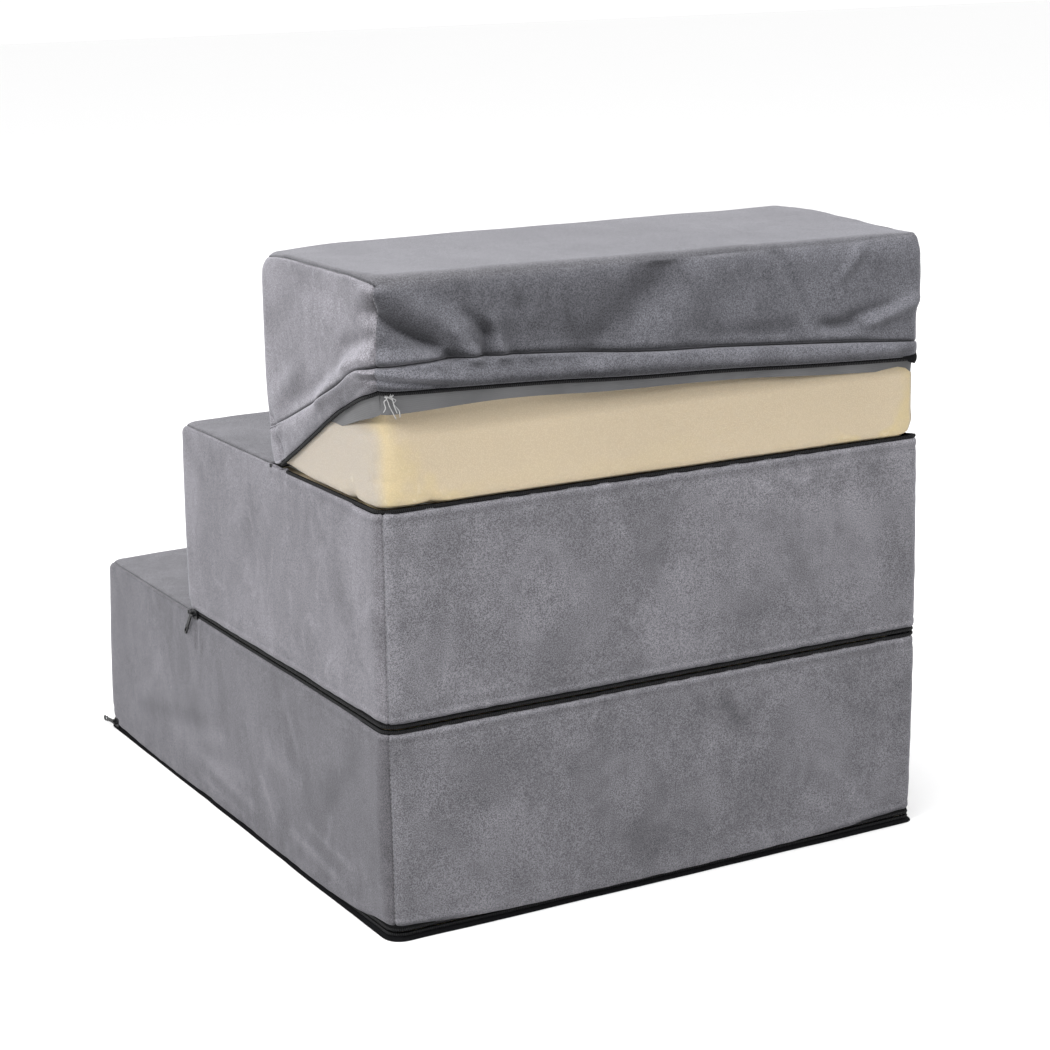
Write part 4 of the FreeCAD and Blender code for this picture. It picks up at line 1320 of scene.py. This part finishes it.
def laid_cloth(name, tier, raw, size, thickness, material, node):
    """A thin flat cloth that lies on the foam or under it."""
    piece = lay_sheet(name, raw.reshape(*size, 3))
    thicken(piece, thickness)
    finish_piece(piece, tier, material(), [node])


def liner_piece(tier):
    """The white liner over a lower tier's foam, drawn in round its two rear corners."""
    low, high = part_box(f"{tier}_liner")
    across = np.linspace(low.x + LINER_TUCK, high.x - LINER_TUCK, 90)
    along = np.linspace(low.y, high.y - LINER_TUCK, 90)
    x, y = np.meshgrid(across, along, indexing="ij")
    raw = points_of(x, y, high.z)
    to_side, to_rear = high.x - abs(raw[:, 0]), high.y - raw[:, 1]
    relief = 0.35 * MM * waves(raw, 83, 120 * MM, 22 * MM)
    raw[:, 2] += relief * ease(np.minimum(to_side, to_rear) / (30 * MM))
    inwards = 4.2 * MM * ease(1 - (to_side + to_rear) / (14 * MM))
    raw[:, 0] -= np.sign(raw[:, 0]) * inwards
    raw[:, 1] -= inwards
    node, rests_on = f"{tier}_liner", [f"{tier}_foam_block"]
    laid_cloth(f"{tier}_liner_sheet", tier, raw, x.shape, 0.3 * MM, white_web, node)


def base_piece():
    """The black base cloth, with its corners rounded off."""
    low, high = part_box("base_cloth")
    reach = 11 * MM
    x, y = np.meshgrid(spaced(low.x, high.x, 8 * MM), spaced(low.y, high.y, 8 * MM), indexing="ij")
    raw = points_of(x, y, high.z - 0.4 * MM)
    to_side = high.x - abs(raw[:, 0])
    to_end = np.minimum(high.y - raw[:, 1], raw[:, 1] - low.y)
    corner = 0.3 * np.maximum(0, reach - to_side) * np.maximum(0, reach - to_end) / reach
    raw[:, 0] -= np.sign(raw[:, 0]) * corner
    raw[:, 1] -= np.sign(raw[:, 1] - (low.y + high.y) / 2) * corner
    relief = 0.25 * MM * waves(raw, 89, 90 * MM, 30 * MM)
    raw[:, 2] += relief * ease(np.minimum(to_side, to_end) / (20 * MM))
    slot = node = "base_cloth"
    laid_cloth("base_sheet", "bottom", raw, x.shape, 0.7 * MM, base_weave, node)


def coat_nodes(material, endings):
    """Give a material to the frame's own parts whose names have one of the endings."""
    for name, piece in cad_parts.items():
        if name.endswith(endings):
            piece.data.materials.clear()
            piece.data.materials.append(material)


# ---------------------------------------------------------------- operators


class STAIRS_OT_stage(bpy.types.Operator):
    """Camera, pale floor and soft lights"""

    bl_idname = "stairs.stage"
    bl_label = "Stage"

    def execute(self, context):
        stage = context.scene.stairs_stage
        azimuth, elevation, roll = stage.azimuth, stage.elevation, stage.roll
        back = Vector(
            (
                math.sin(azimuth) * math.cos(elevation),
                -math.cos(azimuth) * math.cos(elevation),
                math.sin(elevation),
            )
        )
        right = Vector((math.cos(azimuth), math.sin(azimuth), 0.0))
        upward = back.cross(right)
        level, tilted = math.cos(roll), math.sin(roll)
        axes = (right * level + upward * tilted, upward * level - right * tilted, back)
        bpy.ops.object.camera_add(location=(0, 0, 0))
        camera = context.object
        camera.name = "studio_camera"
        camera.data.lens = stage.lens
        camera.data.sensor_width = 36.0
        camera.matrix_world = Matrix.Translation(stage.camera) @ Matrix(axes).transposed().to_4x4()
        context.scene.camera = camera

        deselect()
        bpy.ops.mesh.primitive_plane_add(size=24, location=(0, 0, 0))
        floor = context.object
        floor.name = "studio_floor"
        floor.data.materials.append(paper_floor(stage))

        self.light("key_light", (2.6, 0.5, 2.2), (0, 0, 0.22), 1.4, 60)
        self.light("rear_light", (0.4, 2.6, 2.6), (0, 0, 0.2), 1.2, 12)
        self.light("top_light", (0.3, 0.3, 3.2), (0, 0, 0.2), 1.6, 38)
        self.light("front_light", (-1.4, -2.6, 1.8), (0, 0, 0.2), 2.2, 16)
        world = bpy.data.worlds.new("studio_world")
        world.use_nodes = True
        world.node_tree.nodes["Background"].inputs["Color"].default_value = (1.0, 1.0, 1.0, 1.0)
        world.node_tree.nodes["Background"].inputs["Strength"].default_value = 1.08
        context.scene.world = world
        context.scene.view_settings.view_transform = "Standard"
        return {"FINISHED"}

    def light(self, name, place, target, size, power):
        bpy.ops.object.light_add(type="AREA", location=(0, 0, 0))
        lamp = bpy.context.object
        lamp.name = name
        lamp.data.shape = "DISK"
        lamp.data.size = size
        lamp.data.energy = power
        toward = Vector(target) - Vector(place)
        turn = toward.to_track_quat("-Z", "Y").to_matrix().to_4x4()
        lamp.matrix_world = Matrix.Translation(place) @ turn


class STAIRS_OT_lower_covers(bpy.types.Operator):
    """Velvet panels of the two lower tiers"""

    bl_idname = "stairs.lower_covers"
    bl_label = "Lower covers"

    def execute(self, context):
        cover = context.scene.stairs_cover
        for tier in ABOVE:
            lower_step_strip(tier, cover)
            lower_back_panel(tier, cover)
            for hand in HANDS:
                lower_side_panel(tier, hand, cover)
        return {"FINISHED"}


class STAIRS_OT_top_cover(bpy.types.Operator):
    """The pushed-up top cover with its rolled hem"""

    bl_idname = "stairs.top_cover"
    bl_label = "Top cover"

    def execute(self, context):
        cover = context.scene.stairs_cover
        top_strip(cover)
        for hand in HANDS:
            top_side_panel(hand, cover)
        for face in ("right", "back", "left"):
            hem_facing(face, cover)
        frayed_corner(cover)
        left_end_tape(cover, context.scene.stairs_zips)
        return {"FINISHED"}


class STAIRS_OT_stitches(bpy.types.Operator):
    """Stitches in the seams of all three tiers"""

    bl_idname = "stairs.stitches"
    bl_label = "Stitches"

    def execute(self, context):
        for tier in TIERS:
            seam_stitches(tier, context.scene.stairs_cover)
        return {"FINISHED"}


class STAIRS_OT_foam(bpy.types.Operator):
    """The three foam blocks"""

    bl_idname = "stairs.foam"
    bl_label = "Foam"

    def execute(self, context):
        for tier in TIERS:
            foam_piece(tier, context.scene.stairs_foam)
        return {"FINISHED"}


class STAIRS_OT_linings(bpy.types.Operator):
    """White liners, fold tapes and the black base cloth"""

    bl_idname = "stairs.linings"
    bl_label = "Liners and base"

    def execute(self, context):
        for tier in ABOVE:
            liner_piece(tier)
        base_piece()
        coat_nodes(black_cloth("fold_tape_weave", 900), ("_fold_tape",))
        return {"FINISHED"}


class STAIRS_OT_zips(bpy.types.Operator):
    """Coils and tapes of the three zips"""

    bl_idname = "stairs.zips"
    bl_label = "Zips"

    def execute(self, context):
        zips = context.scene.stairs_zips
        low, mid, top = (TierShape(tier, context.scene.stairs_cover) for tier in TIERS)

        def level(height):
            return lambda face, places: np.full(len(places), height)

        def flush(face, places):
            return np.full(len(places), -0.25 * MM)

        def lifted(face, places):
            return hem_heights(face, places)[1] - 3.2 * MM

        def on_roll(face, places):
            return np.full(len(places), 1.0 * MM)

        start = RISER["bottom"] + 2 * MM
        base_tape = BASE_ZIP - 0.3 * MM
        zip_half("base_zip_lower", low, start, level(BASE_ZIP), flush, zips, base_tape, flare=4 * MM)
        zip_half("base_zip_upper", low, start, level(BASE_ZIP), flush, zips)
        start = ZIP_START["middle"]
        zip_half("middle_zip_lower", low, start, level(FLOOR["middle"]), flush, zips)
        zip_half("middle_zip_upper", mid, start, level(FLOOR["middle"]), flush, zips)
        start = ZIP_START["top"]
        zip_half("top_zip_lower", mid, start + 8 * MM, level(FLOOR["top"]), flush, zips)
        zip_half("top_zip_upper", top, start + 4 * MM, lifted, on_roll, zips, 7 * MM)
        return {"FINISHED"}


class STAIRS_OT_hardware(bpy.types.Operator):
    """Sliders, pull tabs and stops"""

    bl_idname = "stairs.hardware"
    bl_label = "Sliders and tabs"

    def execute(self, context):
        coat_nodes(enamel(context.scene.stairs_zips), ("_slider", "_tab", "_stops"))
        return {"FINISHED"}


class STAIRS_PT_panel(bpy.types.Panel):
    """Sidebar panel that makes each group of pieces"""

    bl_label = "Pet Stairs"
    bl_idname = "STAIRS_PT_panel"
    bl_space_type = "VIEW_3D"
    bl_region_type = "UI"
    bl_category = "Pet Stairs"

    def draw(self, context):
        for operator in OPERATORS:
            self.layout.operator(operator.bl_idname)


OPERATORS = (
    STAIRS_OT_stage,
    STAIRS_OT_lower_covers,
    STAIRS_OT_top_cover,
    STAIRS_OT_stitches,
    STAIRS_OT_foam,
    STAIRS_OT_linings,
    STAIRS_OT_zips,
    STAIRS_OT_hardware,
)
SETTINGS = {
    "stairs_cover": CoverSettings,
    "stairs_foam": FoamSettings,
    "stairs_zips": ZipSettings,
    "stairs_stage": StageSettings,
}


def register():
    for name, group in SETTINGS.items():
        bpy.utils.register_class(group)
        setattr(bpy.types.Scene, name, bpy.props.PointerProperty(type=group))
    for operator in OPERATORS:
        bpy.utils.register_class(operator)
    bpy.utils.register_class(STAIRS_PT_panel)


def unregister():
    bpy.utils.unregister_class(STAIRS_PT_panel)
    for operator in reversed(OPERATORS):
        bpy.utils.unregister_class(operator)
    for name, group in SETTINGS.items():
        delattr(bpy.types.Scene, name)
        bpy.utils.unregister_class(group)


def main():
    register()
    for operator in OPERATORS:
        group, name = operator.bl_idname.split(".")
        getattr(getattr(bpy.ops, group), name)()


if __name__ == "__main__":
    main()
